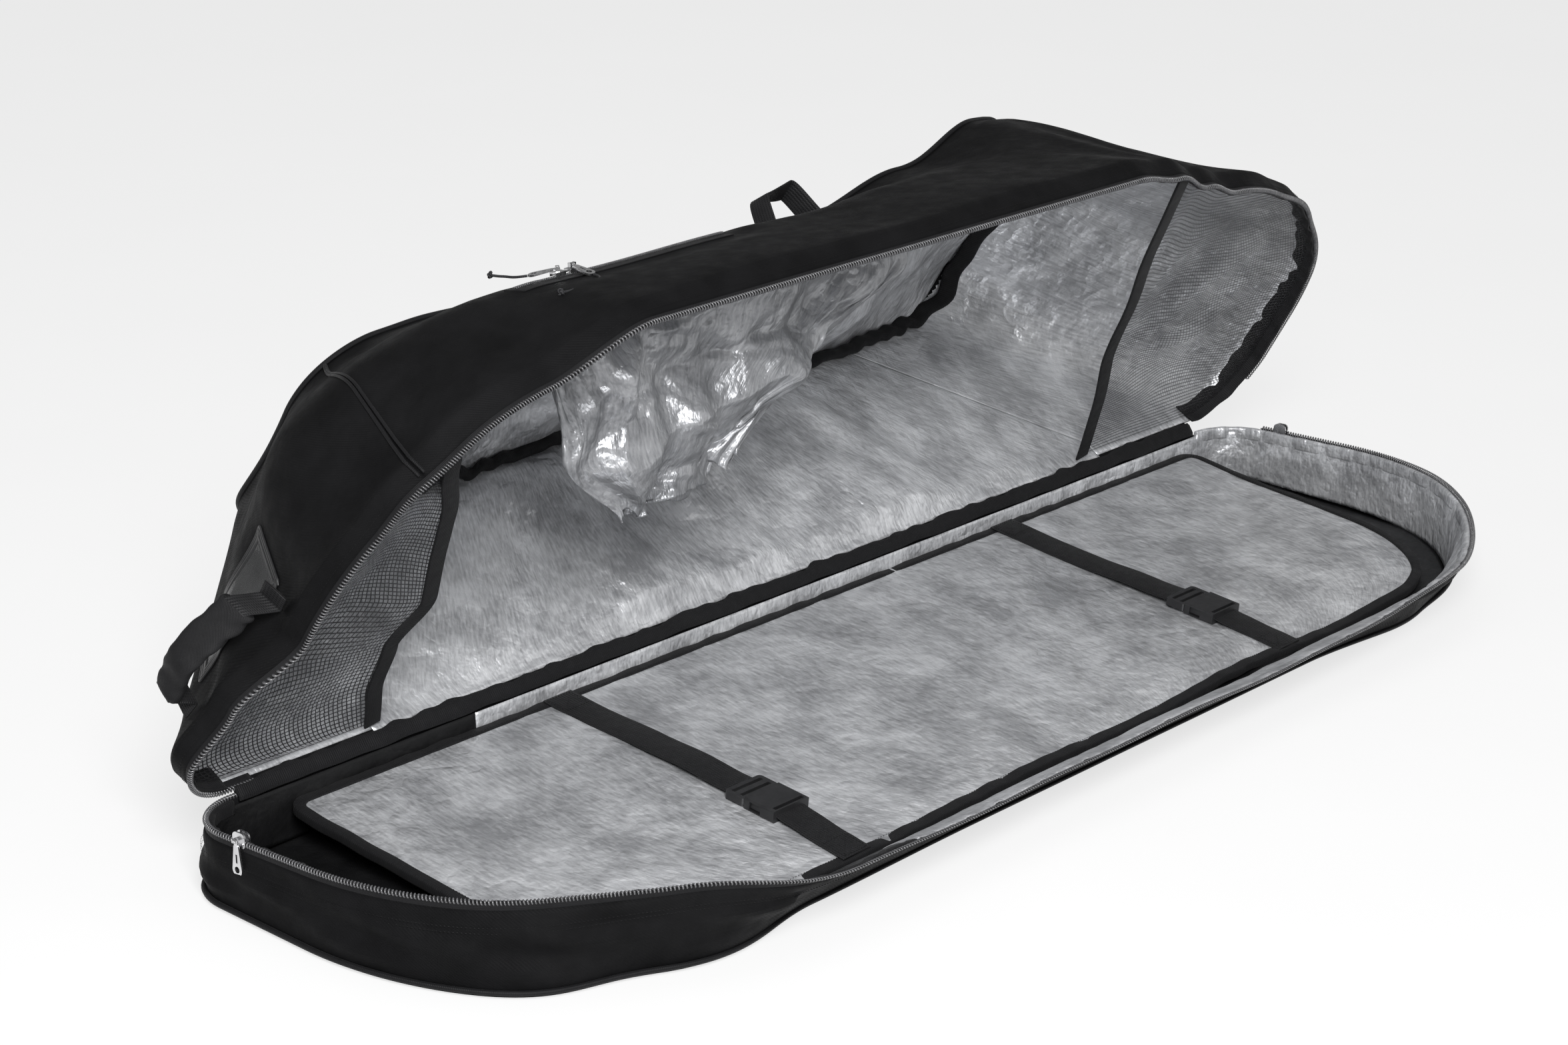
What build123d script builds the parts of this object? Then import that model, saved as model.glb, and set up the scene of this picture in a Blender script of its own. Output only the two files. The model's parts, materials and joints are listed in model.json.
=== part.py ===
"""Padded board bag, lying open: a shallow base tray, a deep lid on a sewn hinge, and a divider mat with straps.

Frame: +X along the bag towards its right end, -Y towards the mouth side, +Z up.
The origin is on the ground, under the middle of the base tray.
The lid is modelled closed, with its mouth level at the hinge's height, and is then turned open about the hinge.
"""
from build123d import *
from math import atan2, cos, degrees, hypot, pi, radians, sin, sqrt
import os

os.makedirs("parts", exist_ok=True)

# ---- driving dimensions, in millimetres and degrees ----
BAG_LENGTH = 1560.0        # outside length of the tray and of the lid's mouth
BAG_WIDTH = 470.0          # outside width, hinge side to mouth side
FRONT_RADIUS = 300.0       # corners on the mouth side, which make the D-shaped ends
HINGE_RADIUS = 60.0        # corners on the hinge side
HINGE_HEIGHT = 70.0        # height of the tray's rim along the hinge
FRONT_HEIGHT = 95.0        # height of the tray's rim along the mouth side
LID_ANGLE = 62.0           # how far the lid stands open
ROOF_DEPTH = 245.0         # depth of the lid from its mouth to its roof
LEFT_SLOPE = 220.0         # how far each side of the lid leans in, from mouth to roof
RIGHT_SLOPE = 290.0
FRONT_SLOPE = 140.0
HINGE_SLOPE = 30.0
ROOF_RADIUS = 80.0         # corners of the roof panel

SKIN = 1.5                 # outer fabric with its backing
WALL_FOAM = 4.0
LINING = 0.8
FLOOR_BOARD = 3.0
ROOF_FOAM = 5.0
TAPE = 1.0                 # thickness of zip tape
PIPING_RADIUS = 2.5
SEAT = 0.15                # gap between a round welt and the cloth that it lies on

RIM_DROP = 10.0            # from the mouth plane to the edge of the sewn wall
TAPE_WIDTH = 18.0          # width of zip tape below the coil
COIL_WIDTH = 2.4
COIL_HEIGHT = 3.0
COIL_GAP = 1.2             # from the mouth plane to each half of the main zip
HINGE_GAP = 0.4            # from the mouth plane to the cloth on each side of the hinge
RIM_BAND = 20.0            # straight band of the lid above its zip

MAT_LENGTH = 1370.0
MAT_SHIFT = 20.0           # the mat's middle lies this far to the right of the bag's
MAT_FRONT_GAP = 78.0       # from the wall's outside to the mat's free edge
MAT_RADIUS = 150.0
MAT_THICKNESS = 7.0
MAT_HINGE_HEIGHT = 46.0    # top of the mat at its sewn edge
MAT_FRONT_HEIGHT = 16.0    # top of the mat at its free edge
MAT_SIDE_GAP = 0.9         # between the mat's binding and the wall's lining
BINDING = 2.0

STRAP_WIDTH = 38.0
STRAP_THICKNESS = 1.6
STRAP_X = (-330.0, 350.0)  # left and right strap
BUCKLE_FROM_EDGE = 118.0   # from the mat's free edge to the middle of a buckle
BUCKLE_WIDTH = 48.0
BUCKLE_HEIGHT = 12.0
SOCKET_LENGTH = 36.0
PLUG_BODY = 24.0
PRONG_LENGTH = 26.0
PRONG_WIDTH = 7.0
PRONG_HEIGHT = 5.6
BUCKLE_WALL = 2.0
PLUG_SLOTS = (0.3, 0.72)   # places of the plug's two strap slots along its body
GUIDE_SHARE = 0.6          # length of the plug's centre guide, as a share of its prongs
FIT = 0.4                  # running clearance in buckles and sliders

POUCH_WIDTH = 490.0
POUCH_DROP = 235.0
POUCH_THICKNESS = 26.0
POUCH_X = -160.0
POCKET_ZIP_LENGTH = 270.0
POCKET_ZIP_X = -310.0      # middle of the pocket's zip
POCKET_ZIP_PLACE = 125.0   # up the lid's front side, from its lower edge
POCKET_TAPE_WIDTH = 26.0
POCKET_COIL_WIDTH = 5.0
POCKET_COIL_HEIGHT = 2.2
SLIDER_LENGTH = 14.0
SLIDER_WALL = 1.4
SLIDER_X = (-390.0, -372.0)
SLIDER_HEADINGS = (140.0, -90.0)   # which way each pull lies, turned from the zip's direction
PULL_DROOPS = (10.0, 12.0)         # how far each pull leans down to the cloth
PIN_RADIUS = 0.9
EYE_CLEARANCE = 0.3
EYE_WALL = 1.1
EYE_WIDTH = 4.0
NECK_START = 1.8           # from the pin to a pull tab's flat part, in eye radii
EAR = 1.2
PULL_LENGTH = 27.0
PULL_WIDTH = 11.0
PULL_THICKNESS = 1.8
CORD_RADIUS = 1.2
MAIN_SLIDER_LENGTH = 16.0
MAIN_SLIDER_CHEEK = 7.0    # reach of a main slider's cheeks each side of the mouth plane
MAIN_SLIDER_WALL = 1.6
MAIN_SLIDER_WEB = 1.2      # its bar between the two halves of the zip
MAIN_SLIDER_FROM_HINGE = 85.0
MAIN_PULL_LENGTH = 32.0
MAIN_PULL_WIDTH = 12.0

MESH = 1.2                 # thickness of pocket mesh
MESH_LIFT = 3.0            # from the lid band's lower edge to the mesh
LEFT_MESH_EDGE = (-675.0, -545.0)    # x of each mesh pocket's mouth at the bag's front and at its hinge side
RIGHT_MESH_EDGE = (385.0, 520.0)
MESH_BAND = 14.0           # width of the binding on a mesh pocket's mouth

ID_WIDTH = 118.0           # along the bag's end
ID_HEIGHT = 84.0
ID_FRAME = 12.0            # width of the frame's border
ID_THICKNESS = 1.4
ID_PLACE = 102.0           # up the lid's left side, from its lower edge
WINDOW = 0.5
CARD = 0.4
CARD_CLEARANCE = 0.3
ID_SLOT = 0.9              # height of the slot that the card slides through
END_Y = 97.0               # middle of the fittings on the bag's left end
HANDLE_WEB = 2.4           # thickness of a handle's webbing
HANDLE_WIDTH = 25.0
HANDLE_SEAT = 0.3          # running gap between a handle's feet and the cloth
HANDLE_FOOT = 16.0
GRIP_LENGTH = 92.0
GRIP_WIDTH = 34.0
GRIP_THICKNESS = 13.0
END_HANDLE_SPAN = 134.0
END_HANDLE_RISE = 30.0
END_HANDLE_PLACE = 36.0    # up the lid's left side
END_HANDLE_LEAN = 30.0
CARRY_X = 95.0
CARRY_PLACE = 24.0         # from the roof's mouth-side edge to the handle's feet
CARRY_SPAN = 110.0
CARRY_RISE = 48.0
CARRY_TOP = 40.0
CARRY_LEAN = 20.0

# ---- places worked out from them ----
HALF_LENGTH = BAG_LENGTH / 2
HALF_WIDTH = BAG_WIDTH / 2
RIM_ANGLE = degrees(atan2(FRONT_HEIGHT - HINGE_HEIGHT, BAG_WIDTH))
WALL = SKIN + WALL_FOAM + LINING
FLOOR_TOP = SKIN + FLOOR_BOARD + LINING
BAND_TOP = RIM_DROP + RIM_BAND
GUSSET_TOP = ROOF_DEPTH - SKIN
GUSSET_WALL = SKIN + LINING
SEAM_X = HALF_LENGTH - FRONT_RADIUS
TAPE_EDGE = COIL_GAP + COIL_HEIGHT
TAPE_END = TAPE_EDGE + TAPE_WIDTH
BIG = 3 * BAG_LENGTH
HINGE = Pos(0, HALF_WIDTH, HINGE_HEIGHT)
OPEN_LID = HINGE * Rot(-LID_ANGLE, 0, 0) * Pos(0, -HALF_WIDTH, 0)
TRAY_RIM = HINGE * Rot(-RIM_ANGLE, 0, 0)
EYE_RADIUS = PIN_RADIUS + EYE_CLEARANCE + EYE_WALL


def save(shape, node):
    """Write one sub-part."""
    shape.label = node
    export_step(shape, f"parts/{node}.step")


def save_lid(shape, node):
    """Turn a sub-part of the closed lid open and write it."""
    save(OPEN_LID * shape, node)


def rounded_face(left, right, front, back, front_radius, back_radius, z=0.0):
    """Face with its own radius on the two front and the two back corners."""
    face = Pos((left + right) / 2, (front + back) / 2) * Rectangle(right - left, back - front)
    face = fillet(face.vertices().group_by(Axis.Y)[0], front_radius)
    face = fillet(face.vertices().group_by(Axis.Y)[-1].sort_by(Axis.X), back_radius)
    return Pos(0, 0, z) * face


def mouth(inset=0.0, z=0.0):
    """The bag's D-ended outline, moved inwards."""
    x = HALF_LENGTH - inset
    y = HALF_WIDTH - inset
    return rounded_face(-x, x, -y, y, FRONT_RADIUS - inset, HINGE_RADIUS - inset, z)


def roof(inset=0.0, z=0.0):
    """The lid's smaller roof outline, moved inwards."""
    left = -HALF_LENGTH + LEFT_SLOPE + inset
    right = HALF_LENGTH - RIGHT_SLOPE - inset
    front = -HALF_WIDTH + FRONT_SLOPE + inset
    back = HALF_WIDTH - HINGE_SLOPE - inset
    return rounded_face(left, right, front, back, ROOF_RADIUS - inset, ROOF_RADIUS - inset, z)


def prism(face, height):
    return extrude(face, amount=height, dir=(0, 0, 1))


def ring(outer, inner, low, high):
    """Band between two insets of the mouth's outline."""
    return prism(mouth(outer, low), high - low) - prism(mouth(inner, low), high - low)


def block(x0, x1, y0, y1, z0, z1):
    return Pos((x0 + x1) / 2, (y0 + y1) / 2, (z0 + z1) / 2) * Box(x1 - x0, y1 - y0, z1 - z0)


def under_rim(drop):
    """Everything lower than the tray's sloping mouth plane by drop."""
    return HINGE * Rot(-RIM_ANGLE, 0, 0) * block(-BIG, BIG, -BIG, BIG, -BIG, -drop)


def side(shape, low, high, axis):
    """The part of a shape between two values of x or of y."""
    if axis == "x":
        return shape & block(low, high, -BIG, BIG, -BIG, BIG)
    return shape & block(-BIG, BIG, low, high, -BIG, BIG)


ZIP_END = HALF_WIDTH - HINGE_RADIUS


def rim_ring(outer, inner, drop_low, drop_high):
    """Band round the tray that follows its sloping mouth plane."""
    tall = ring(outer, inner, 0, FRONT_HEIGHT + BAG_WIDTH)
    return (tall & under_rim(drop_high)) - under_rim(drop_low)


def welt(face):
    """Round cord along the outline of a face."""
    path = face.face().outer_wire()
    start = path @ 0
    section = Plane(origin=start, z_dir=path % 0) * Circle(PIPING_RADIUS)
    return sweep(section, path)


# ---- base tray ----
def wall_band(outer, inner, low, drop):
    """Band of the tray's wall from a level up to the sloping rim."""
    return ring(outer, inner, low, FRONT_HEIGHT + BAG_WIDTH) & under_rim(drop)


save(prism(mouth(), SKIN), "base_floor_panel")
save(prism(mouth(SKIN, SKIN), FLOOR_BOARD), "base_floor_board")
save(prism(mouth(WALL - LINING, SKIN + FLOOR_BOARD), LINING), "base_floor_lining")
save(wall_band(0, SKIN, SKIN, RIM_DROP), "base_wall")
save(wall_band(SKIN, WALL - LINING, SKIN + FLOOR_BOARD, TAPE_END), "base_wall_foam")
save(wall_band(WALL - LINING, WALL, FLOOR_TOP, RIM_DROP), "base_wall_lining")
save(rim_ring(SKIN + TAPE, WALL - LINING, TAPE_END, RIM_DROP), "base_rim_roll")
tape = rim_ring(SKIN, SKIN + TAPE, TAPE_END, TAPE_EDGE)
save(side(tape, -BIG, ZIP_END, "y"), "base_zip_tape")
coil_inset = SKIN + TAPE / 2 - COIL_WIDTH / 2
coil = rim_ring(coil_inset, coil_inset + COIL_WIDTH, TAPE_EDGE, COIL_GAP)
save(side(coil, -BIG, ZIP_END, "y"), "base_zip_coil")
hinge_tray = rim_ring(0, WALL, RIM_DROP, HINGE_GAP)
hinge_end = HALF_LENGTH - HINGE_RADIUS
hinge_tray = hinge_tray & block(-hinge_end, hinge_end, 0, BIG, 0, BIG)
save(hinge_tray, "hinge_strip")
piping_face = mouth(-PIPING_RADIUS - SEAT, PIPING_RADIUS + SEAT)
save(welt(piping_face), "base_floor_piping")

# ---- lid, closed ----
def lid_solid(inset, top):
    """Tapered block from the band's top to a level, with its sides moved inwards."""
    return loft([mouth(inset, BAND_TOP), roof(inset, top)], ruled=True)


def lid_layer(outer, inner):
    """Sloping sides of the lid between two insets."""
    return lid_solid(outer, GUSSET_TOP) - lid_solid(inner, GUSSET_TOP)


CORNER_SHARE = 1 - sqrt(0.5)


def corner_seam(sign):
    """Ends of the seam that crosses a front corner of the lid, at the middle of the mouth's and of the roof's turn."""
    slope = LEFT_SLOPE if sign < 0 else RIGHT_SLOPE
    low_x = HALF_LENGTH - FRONT_RADIUS * CORNER_SHARE
    low_y = -HALF_WIDTH + FRONT_RADIUS * CORNER_SHARE
    high_x = HALF_LENGTH - slope - ROOF_RADIUS * CORNER_SHARE
    high_y = -HALF_WIDTH + FRONT_SLOPE + ROOF_RADIUS * CORNER_SHARE
    return Vector(sign * low_x, low_y, BAND_TOP), Vector(sign * high_x, high_y, GUSSET_TOP)


def end_region(sign):
    """Everything beyond a corner seam and its hinge-side seam, towards one end of the bag."""
    low, high = corner_seam(sign)
    out = low + (low - high) * 3
    far = sign * BIG
    corners = [(out.X, out.Y), (high.X, high.Y), (sign * SEAM_X, 0), (sign * SEAM_X, BIG), (far, BIG), (far, out.Y)]
    return extrude(make_face(Polyline(*corners, close=True)), amount=BIG, dir=(0, 0, 1))


skin = lid_layer(0, SKIN)
left_end = end_region(-1)
right_end = end_region(1)
middle = skin - left_end - right_end
save_lid(side(middle, -BIG, 0, "y"), "lid_front_gusset")
save_lid(side(middle, 0, BIG, "y"), "lid_hinge_gusset")
save_lid(skin & left_end, "lid_left_gusset")
save_lid(skin & right_end, "lid_right_gusset")
lining = lid_layer(SKIN, GUSSET_WALL) + ring(SKIN, GUSSET_WALL, TAPE_END, BAND_TOP)
save_lid(lining, "lid_gusset_lining")
save_lid(prism(roof(0, GUSSET_TOP), SKIN), "lid_roof_panel")
foam_low = GUSSET_TOP - ROOF_FOAM
save_lid(prism(roof(GUSSET_WALL, foam_low), ROOF_FOAM), "lid_roof_foam")
save_lid(prism(roof(GUSSET_WALL, foam_low - LINING), LINING), "lid_roof_lining")
save_lid(ring(0, SKIN, RIM_DROP, BAND_TOP), "lid_rim_band")
save_lid(ring(SKIN + TAPE, WALL - LINING, RIM_DROP, TAPE_END), "lid_rim_binding")
save_lid(side(ring(SKIN, SKIN + TAPE, TAPE_EDGE, TAPE_END), -BIG, ZIP_END, "y"), "lid_zip_tape")
lid_coil = ring(coil_inset, coil_inset + COIL_WIDTH, COIL_GAP, TAPE_EDGE)
save_lid(side(lid_coil, -BIG, ZIP_END, "y"), "lid_zip_coil")
hinge_lid = ring(0, WALL - LINING, HINGE_GAP, RIM_DROP)
save_lid(hinge_lid & block(-hinge_end, hinge_end, 0, BIG, 0, BIG), "hinge_binding")
save_lid(welt(roof(PIPING_RADIUS, ROOF_DEPTH + PIPING_RADIUS + SEAT)), "lid_roof_piping")

# Frames on the lid's flat front and left sides: x along the side, y up the slope, z outwards.
front_rise = GUSSET_TOP - BAND_TOP
front_normal = Vector(0, -front_rise, FRONT_SLOPE).normalized()
FRONT_SIDE = Location(Plane(origin=(0, -HALF_WIDTH, BAND_TOP), x_dir=(1, 0, 0), z_dir=front_normal))
left_normal = Vector(-front_rise, 0, LEFT_SLOPE).normalized()
LEFT_SIDE = Location(Plane(origin=(-HALF_LENGTH, 0, BAND_TOP), x_dir=(0, -1, 0), z_dir=left_normal))
FRONT_LENGTH = hypot(FRONT_SLOPE, front_rise)

for sign, name in ((-1, "left"), (1, "right")):
    low, high = corner_seam(sign)
    along = high - low
    outwards = along.cross(Vector(sign, 1, 0)).normalized() * -sign
    middle = (low + high) / 2 + outwards * (PIPING_RADIUS + SEAT)
    seam = Plane(origin=middle, z_dir=along) * Cylinder(PIPING_RADIUS, along.length - 2 * PIPING_RADIUS)
    save_lid(seam, f"lid_seam_piping_{name}")

# ---- pockets inside the lid ----
def net(edge, start, end, thickness):
    """Flat sheet inside the lid's mouth, between two distances from a slanting edge towards the bag's end."""
    front, back = edge
    corners = [(front + start, -HALF_WIDTH), (back + start, HALF_WIDTH), (back + end, HALF_WIDTH), (front + end, -HALF_WIDTH)]
    region = extrude(make_face(Polyline(*corners, close=True)), amount=BIG, dir=(0, 0, 1))
    return prism(mouth(WALL - LINING, RIM_DROP + MESH_LIFT), thickness) & region


for edge, sign, name in ((LEFT_MESH_EDGE, -1, "left"), (RIGHT_MESH_EDGE, 1, "right")):
    save_lid(net(edge, sign * MESH_BAND, sign * BAG_LENGTH, MESH), f"mesh_pocket_{name}")
    save_lid(net(edge, 0, sign * MESH_BAND, 2 * MESH), f"mesh_pocket_{name}_binding")

pouch = RectangleRounded(POUCH_WIDTH, POUCH_THICKNESS, POUCH_THICKNESS / 2 - 1)
pouch = extrude(pouch, amount=2 * POUCH_DROP)
pouch = FRONT_SIDE * Pos(POUCH_X, POCKET_ZIP_PLACE, -POUCH_DROP) * pouch
save_lid(pouch & lid_solid(GUSSET_WALL, GUSSET_TOP), "pocket_pouch")

# ---- outer pocket's zip on the lid's front side ----
zip_place = FRONT_SIDE * Pos(POCKET_ZIP_X, POCKET_ZIP_PLACE, 0)
tape = Pos(0, 0, TAPE / 2) * Box(POCKET_ZIP_LENGTH, POCKET_TAPE_WIDTH, TAPE)
save_lid(zip_place * tape, "pocket_zip_tape")
coil = Pos(0, 0, TAPE + POCKET_COIL_HEIGHT / 2) * Box(POCKET_ZIP_LENGTH, POCKET_COIL_WIDTH, POCKET_COIL_HEIGHT)
coil = fillet(coil.edges().filter_by(Axis.X).group_by(Axis.Z)[-1], POCKET_COIL_HEIGHT / 3)
save_lid(zip_place * coil, "pocket_zip_coil")


def teardrop(length, width, thickness):
    """Pull tab along +X from its pin at the origin, with an eye for the pin and a hole for the cord."""
    outline = make_hull([Circle(EYE_RADIUS).edge(), (Pos(length - width / 2, 0) * Circle(width / 2)).edge()])
    neck = Pos(NECK_START * EYE_RADIUS + length / 2, 0) * Rectangle(length, width)
    tab = extrude(outline & neck, amount=thickness / 2, both=True)
    hole = Pos(length - width / 2, 0) * Cylinder(width / 4, 2 * thickness)
    slot = Pos(length / 2, 0) * Box(length / 4, width / 6, 2 * thickness)
    tab = tab - hole - slot
    eye = Rot(90, 0, 0) * Cylinder(EYE_RADIUS, EYE_WIDTH)
    bridge = Pos(1.5 * EYE_RADIUS, 0, 0) * Box(2 * EYE_RADIUS, EYE_WIDTH, thickness)
    bore = Rot(90, 0, 0) * Cylinder(PIN_RADIUS + EYE_CLEARANCE, 2 * EYE_WIDTH)
    return tab + ((eye + bridge) - bore)


def ears(base_height):
    """Two ears and the pin between them, standing on a slider, with the pin along Y at the origin."""
    height = base_height + PIN_RADIUS + EAR
    offset = EYE_WIDTH / 2 + FIT + EAR / 2
    pin = Rot(90, 0, 0) * Cylinder(PIN_RADIUS, 2 * offset)
    for sign in (-1, 1):
        ear = Pos(0, sign * offset, PIN_RADIUS + EAR - height / 2) * Box(4 * PIN_RADIUS, EAR, height)
        pin = pin + ear
    return pin


slider_top = TAPE + POCKET_COIL_HEIGHT + FIT + SLIDER_WALL
pin_height = slider_top + EYE_RADIUS + EYE_CLEARANCE
slider_width = POCKET_COIL_WIDTH + 2 * (FIT + SLIDER_WALL)
for name, x, heading, droop in zip(("left", "right"), SLIDER_X, SLIDER_HEADINGS, PULL_DROOPS):
    low = TAPE + FIT
    cap = Pos(0, 0, (low + slider_top) / 2) * Box(SLIDER_LENGTH, slider_width, slider_top - low)
    cap = fillet(cap.edges().filter_by(Axis.Z), SLIDER_WALL)
    tunnel_top = slider_top - SLIDER_WALL
    tunnel = Pos(0, 0, tunnel_top / 2) * Box(2 * SLIDER_LENGTH, POCKET_COIL_WIDTH + 2 * FIT, tunnel_top)
    pin_place = Pos(0, 0, pin_height) * Rot(0, 0, heading)
    slider = (cap - tunnel) + pin_place * ears(pin_height - slider_top)
    here = FRONT_SIDE * Pos(x, POCKET_ZIP_PLACE, 0)
    save_lid(here * slider, f"pocket_slider_{name}")
    pull = pin_place * Rot(0, droop, 0) * teardrop(PULL_LENGTH, PULL_WIDTH, PULL_THICKNESS)
    save_lid(here * pull, f"pocket_pull_{name}")

# ---- address window on the lid's left side ----
id_place = LEFT_SIDE * Pos(-END_Y, ID_PLACE, 0)
opening_width = ID_WIDTH - 2 * ID_FRAME
opening_height = ID_HEIGHT - 2 * ID_FRAME
frame = extrude(RectangleRounded(ID_WIDTH, ID_HEIGHT, ID_FRAME / 2), amount=ID_THICKNESS)
frame = frame - Box(opening_width, opening_height, 4 * ID_THICKNESS)
frame = frame - Pos(ID_WIDTH / 2, 0, ID_SLOT / 2) * Box(ID_WIDTH, opening_height, ID_SLOT)
save_lid(id_place * frame, "id_frame")
window = Pos(0, 0, ID_THICKNESS - WINDOW / 2) * Box(opening_width, opening_height, WINDOW)
save_lid(id_place * window, "id_window")
card = Box(opening_width - 2 * CARD_CLEARANCE, opening_height - 2 * CARD_CLEARANCE, CARD)
save_lid(id_place * Pos(0, 0, ID_SLOT / 2) * card, "id_card")


def arch(span, rise, top, width):
    """Webbing loop over the X axis: two feet on the cloth, two legs and a level top."""
    foot = HANDLE_WEB / 2
    knee = span / 2 - HANDLE_FOOT
    points = [(-span / 2, foot), (-knee, foot), (-top / 2, rise), (top / 2, rise), (knee, foot), (span / 2, foot)]
    path = FilletPolyline(*points, radius=2 * HANDLE_WEB)
    strip = trace(path, HANDLE_WEB)
    return Rot(90, 0, 0) * extrude(strip, amount=width / 2, both=True)


handle = arch(END_HANDLE_SPAN, END_HANDLE_RISE, GRIP_LENGTH, HANDLE_WIDTH)
grip = Box(GRIP_LENGTH, GRIP_WIDTH, GRIP_THICKNESS)
grip = fillet(grip.edges().filter_by(Axis.X), GRIP_THICKNESS / 2 - 1)
handle = handle + Pos(0, 0, END_HANDLE_RISE) * grip
foot_lift = HANDLE_SEAT + sin(radians(END_HANDLE_LEAN)) * HANDLE_WIDTH / 2
handle = Pos(0, 0, foot_lift) * Rot(END_HANDLE_LEAN, 0, 0) * handle
save_lid(LEFT_SIDE * Pos(-END_Y, END_HANDLE_PLACE, 0) * handle, "end_handle")
carry_lift = HANDLE_SEAT + sin(radians(CARRY_LEAN)) * HANDLE_WIDTH / 2
roof_edge = Pos(CARRY_X, -HALF_WIDTH + FRONT_SLOPE + CARRY_PLACE, ROOF_DEPTH + carry_lift)
loop = Rot(CARRY_LEAN, 0, 0) * arch(CARRY_SPAN, CARRY_RISE, CARRY_TOP, HANDLE_WIDTH)
save_lid(roof_edge * loop, "carry_handle")

# ---- divider mat, flat, with its top at the height of its sewn edge ----
mat_back = HALF_WIDTH - WALL - MAT_SIDE_GAP - BINDING
mat_front = -HALF_WIDTH + MAT_FRONT_GAP
mat_slope = degrees(atan2(MAT_HINGE_HEIGHT - MAT_FRONT_HEIGHT, mat_back - mat_front))
MAT_HINGE = Pos(0, mat_back + BINDING, MAT_HINGE_HEIGHT)
LAY_MAT = MAT_HINGE * Rot(mat_slope, 0, 0) * Pos(0, -mat_back - BINDING, 0)
mat_left = MAT_SHIFT - MAT_LENGTH / 2
mat_right = MAT_SHIFT + MAT_LENGTH / 2
mat_corner = 20.0


def mat_face(grow):
    return rounded_face(mat_left - grow, mat_right + grow, mat_front - grow, mat_back + grow,
                        MAT_RADIUS + grow, mat_corner + grow, -MAT_THICKNESS)


mat = prism(mat_face(0), MAT_THICKNESS)
save(LAY_MAT * mat, "divider_mat")
save(LAY_MAT * (prism(mat_face(BINDING), MAT_THICKNESS) - mat), "mat_binding")


def socket():
    """Female half of the buckle along +Y from its mouth at the origin, with side windows and a strap bar."""
    length = SOCKET_LENGTH
    shell = Pos(0, length / 2, BUCKLE_HEIGHT / 2) * Box(BUCKLE_WIDTH, length, BUCKLE_HEIGHT)
    shell = fillet(shell.edges().filter_by(Axis.Y), BUCKLE_WALL)
    inner_width = BUCKLE_WIDTH - 2 * BUCKLE_WALL
    inner_height = BUCKLE_HEIGHT - 2 * BUCKLE_WALL
    depth = PRONG_LENGTH + FIT
    cavity = Pos(0, depth / 2, BUCKLE_HEIGHT / 2) * Box(inner_width, depth, inner_height)
    window = Pos(0, depth / 2, BUCKLE_HEIGHT / 2) * Box(2 * BUCKLE_WIDTH, depth / 2, inner_height)
    strap_slot = Pos(0, length - 2 * BUCKLE_WALL, BUCKLE_HEIGHT / 2)
    strap_slot = strap_slot * Box(STRAP_WIDTH + 2 * FIT, 2 * BUCKLE_WALL, 2 * BUCKLE_HEIGHT)
    return shell - cavity - window - strap_slot


def plug():
    """Male half: a slotted body on the -Y side of the socket's mouth, two side prongs and a centre guide."""
    middle = BUCKLE_HEIGHT / 2
    body = Pos(0, -FIT - PLUG_BODY / 2, middle) * Box(BUCKLE_WIDTH, PLUG_BODY, PRONG_HEIGHT + BUCKLE_WALL)
    body = fillet(body.edges().filter_by(Axis.Z), 2 * BUCKLE_WALL)
    for share in PLUG_SLOTS:
        slot = Pos(0, -FIT - PLUG_BODY * share, middle) * Box(STRAP_WIDTH + 2 * FIT, 2 * BUCKLE_WALL, 2 * BUCKLE_HEIGHT)
        body = body - slot
    inside = BUCKLE_WIDTH / 2 - BUCKLE_WALL - FIT
    reach = PRONG_LENGTH + FIT
    for sign in (-1, 1):
        prong = Pos(sign * (inside - PRONG_WIDTH / 2), PRONG_LENGTH - reach / 2 - FIT, middle)
        body = body + prong * Box(PRONG_WIDTH, reach, PRONG_HEIGHT)
    guide_length = PRONG_LENGTH * GUIDE_SHARE
    return body + Pos(0, guide_length / 2 - FIT, middle) * Box(PRONG_WIDTH / 2, guide_length, PRONG_HEIGHT / 2)


# The socket's mouth faces the hinge side. Its short strap runs to the mat's free edge, the long one to the sewn edge.
def strap(x, low_y, high_y):
    return block(x - STRAP_WIDTH / 2, x + STRAP_WIDTH / 2, low_y, high_y, 0, STRAP_THICKNESS)


for name, x in zip(("left", "right"), STRAP_X):
    mouth_y = mat_front + BUCKLE_FROM_EDGE
    turned = LAY_MAT * Pos(x, mouth_y, 0) * Rot(0, 0, 180)
    save(turned * socket(), f"buckle_{name}_socket")
    save(turned * plug(), f"buckle_{name}_plug")
    save(LAY_MAT * strap(x, mat_front, mouth_y - SOCKET_LENGTH), f"strap_{name}_short")
    save(LAY_MAT * strap(x, mouth_y + FIT, mat_back), f"strap_{name}_long")

# ---- main zip's sliders, parked near the hinge on the tray's rim ----
def rim_block(outer, inner, half_length, low, high):
    """Block on the right end of the rim, between two insets from the outside."""
    return block(HALF_LENGTH - inner, HALF_LENGTH - outer, -half_length, half_length, low, high)


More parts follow.
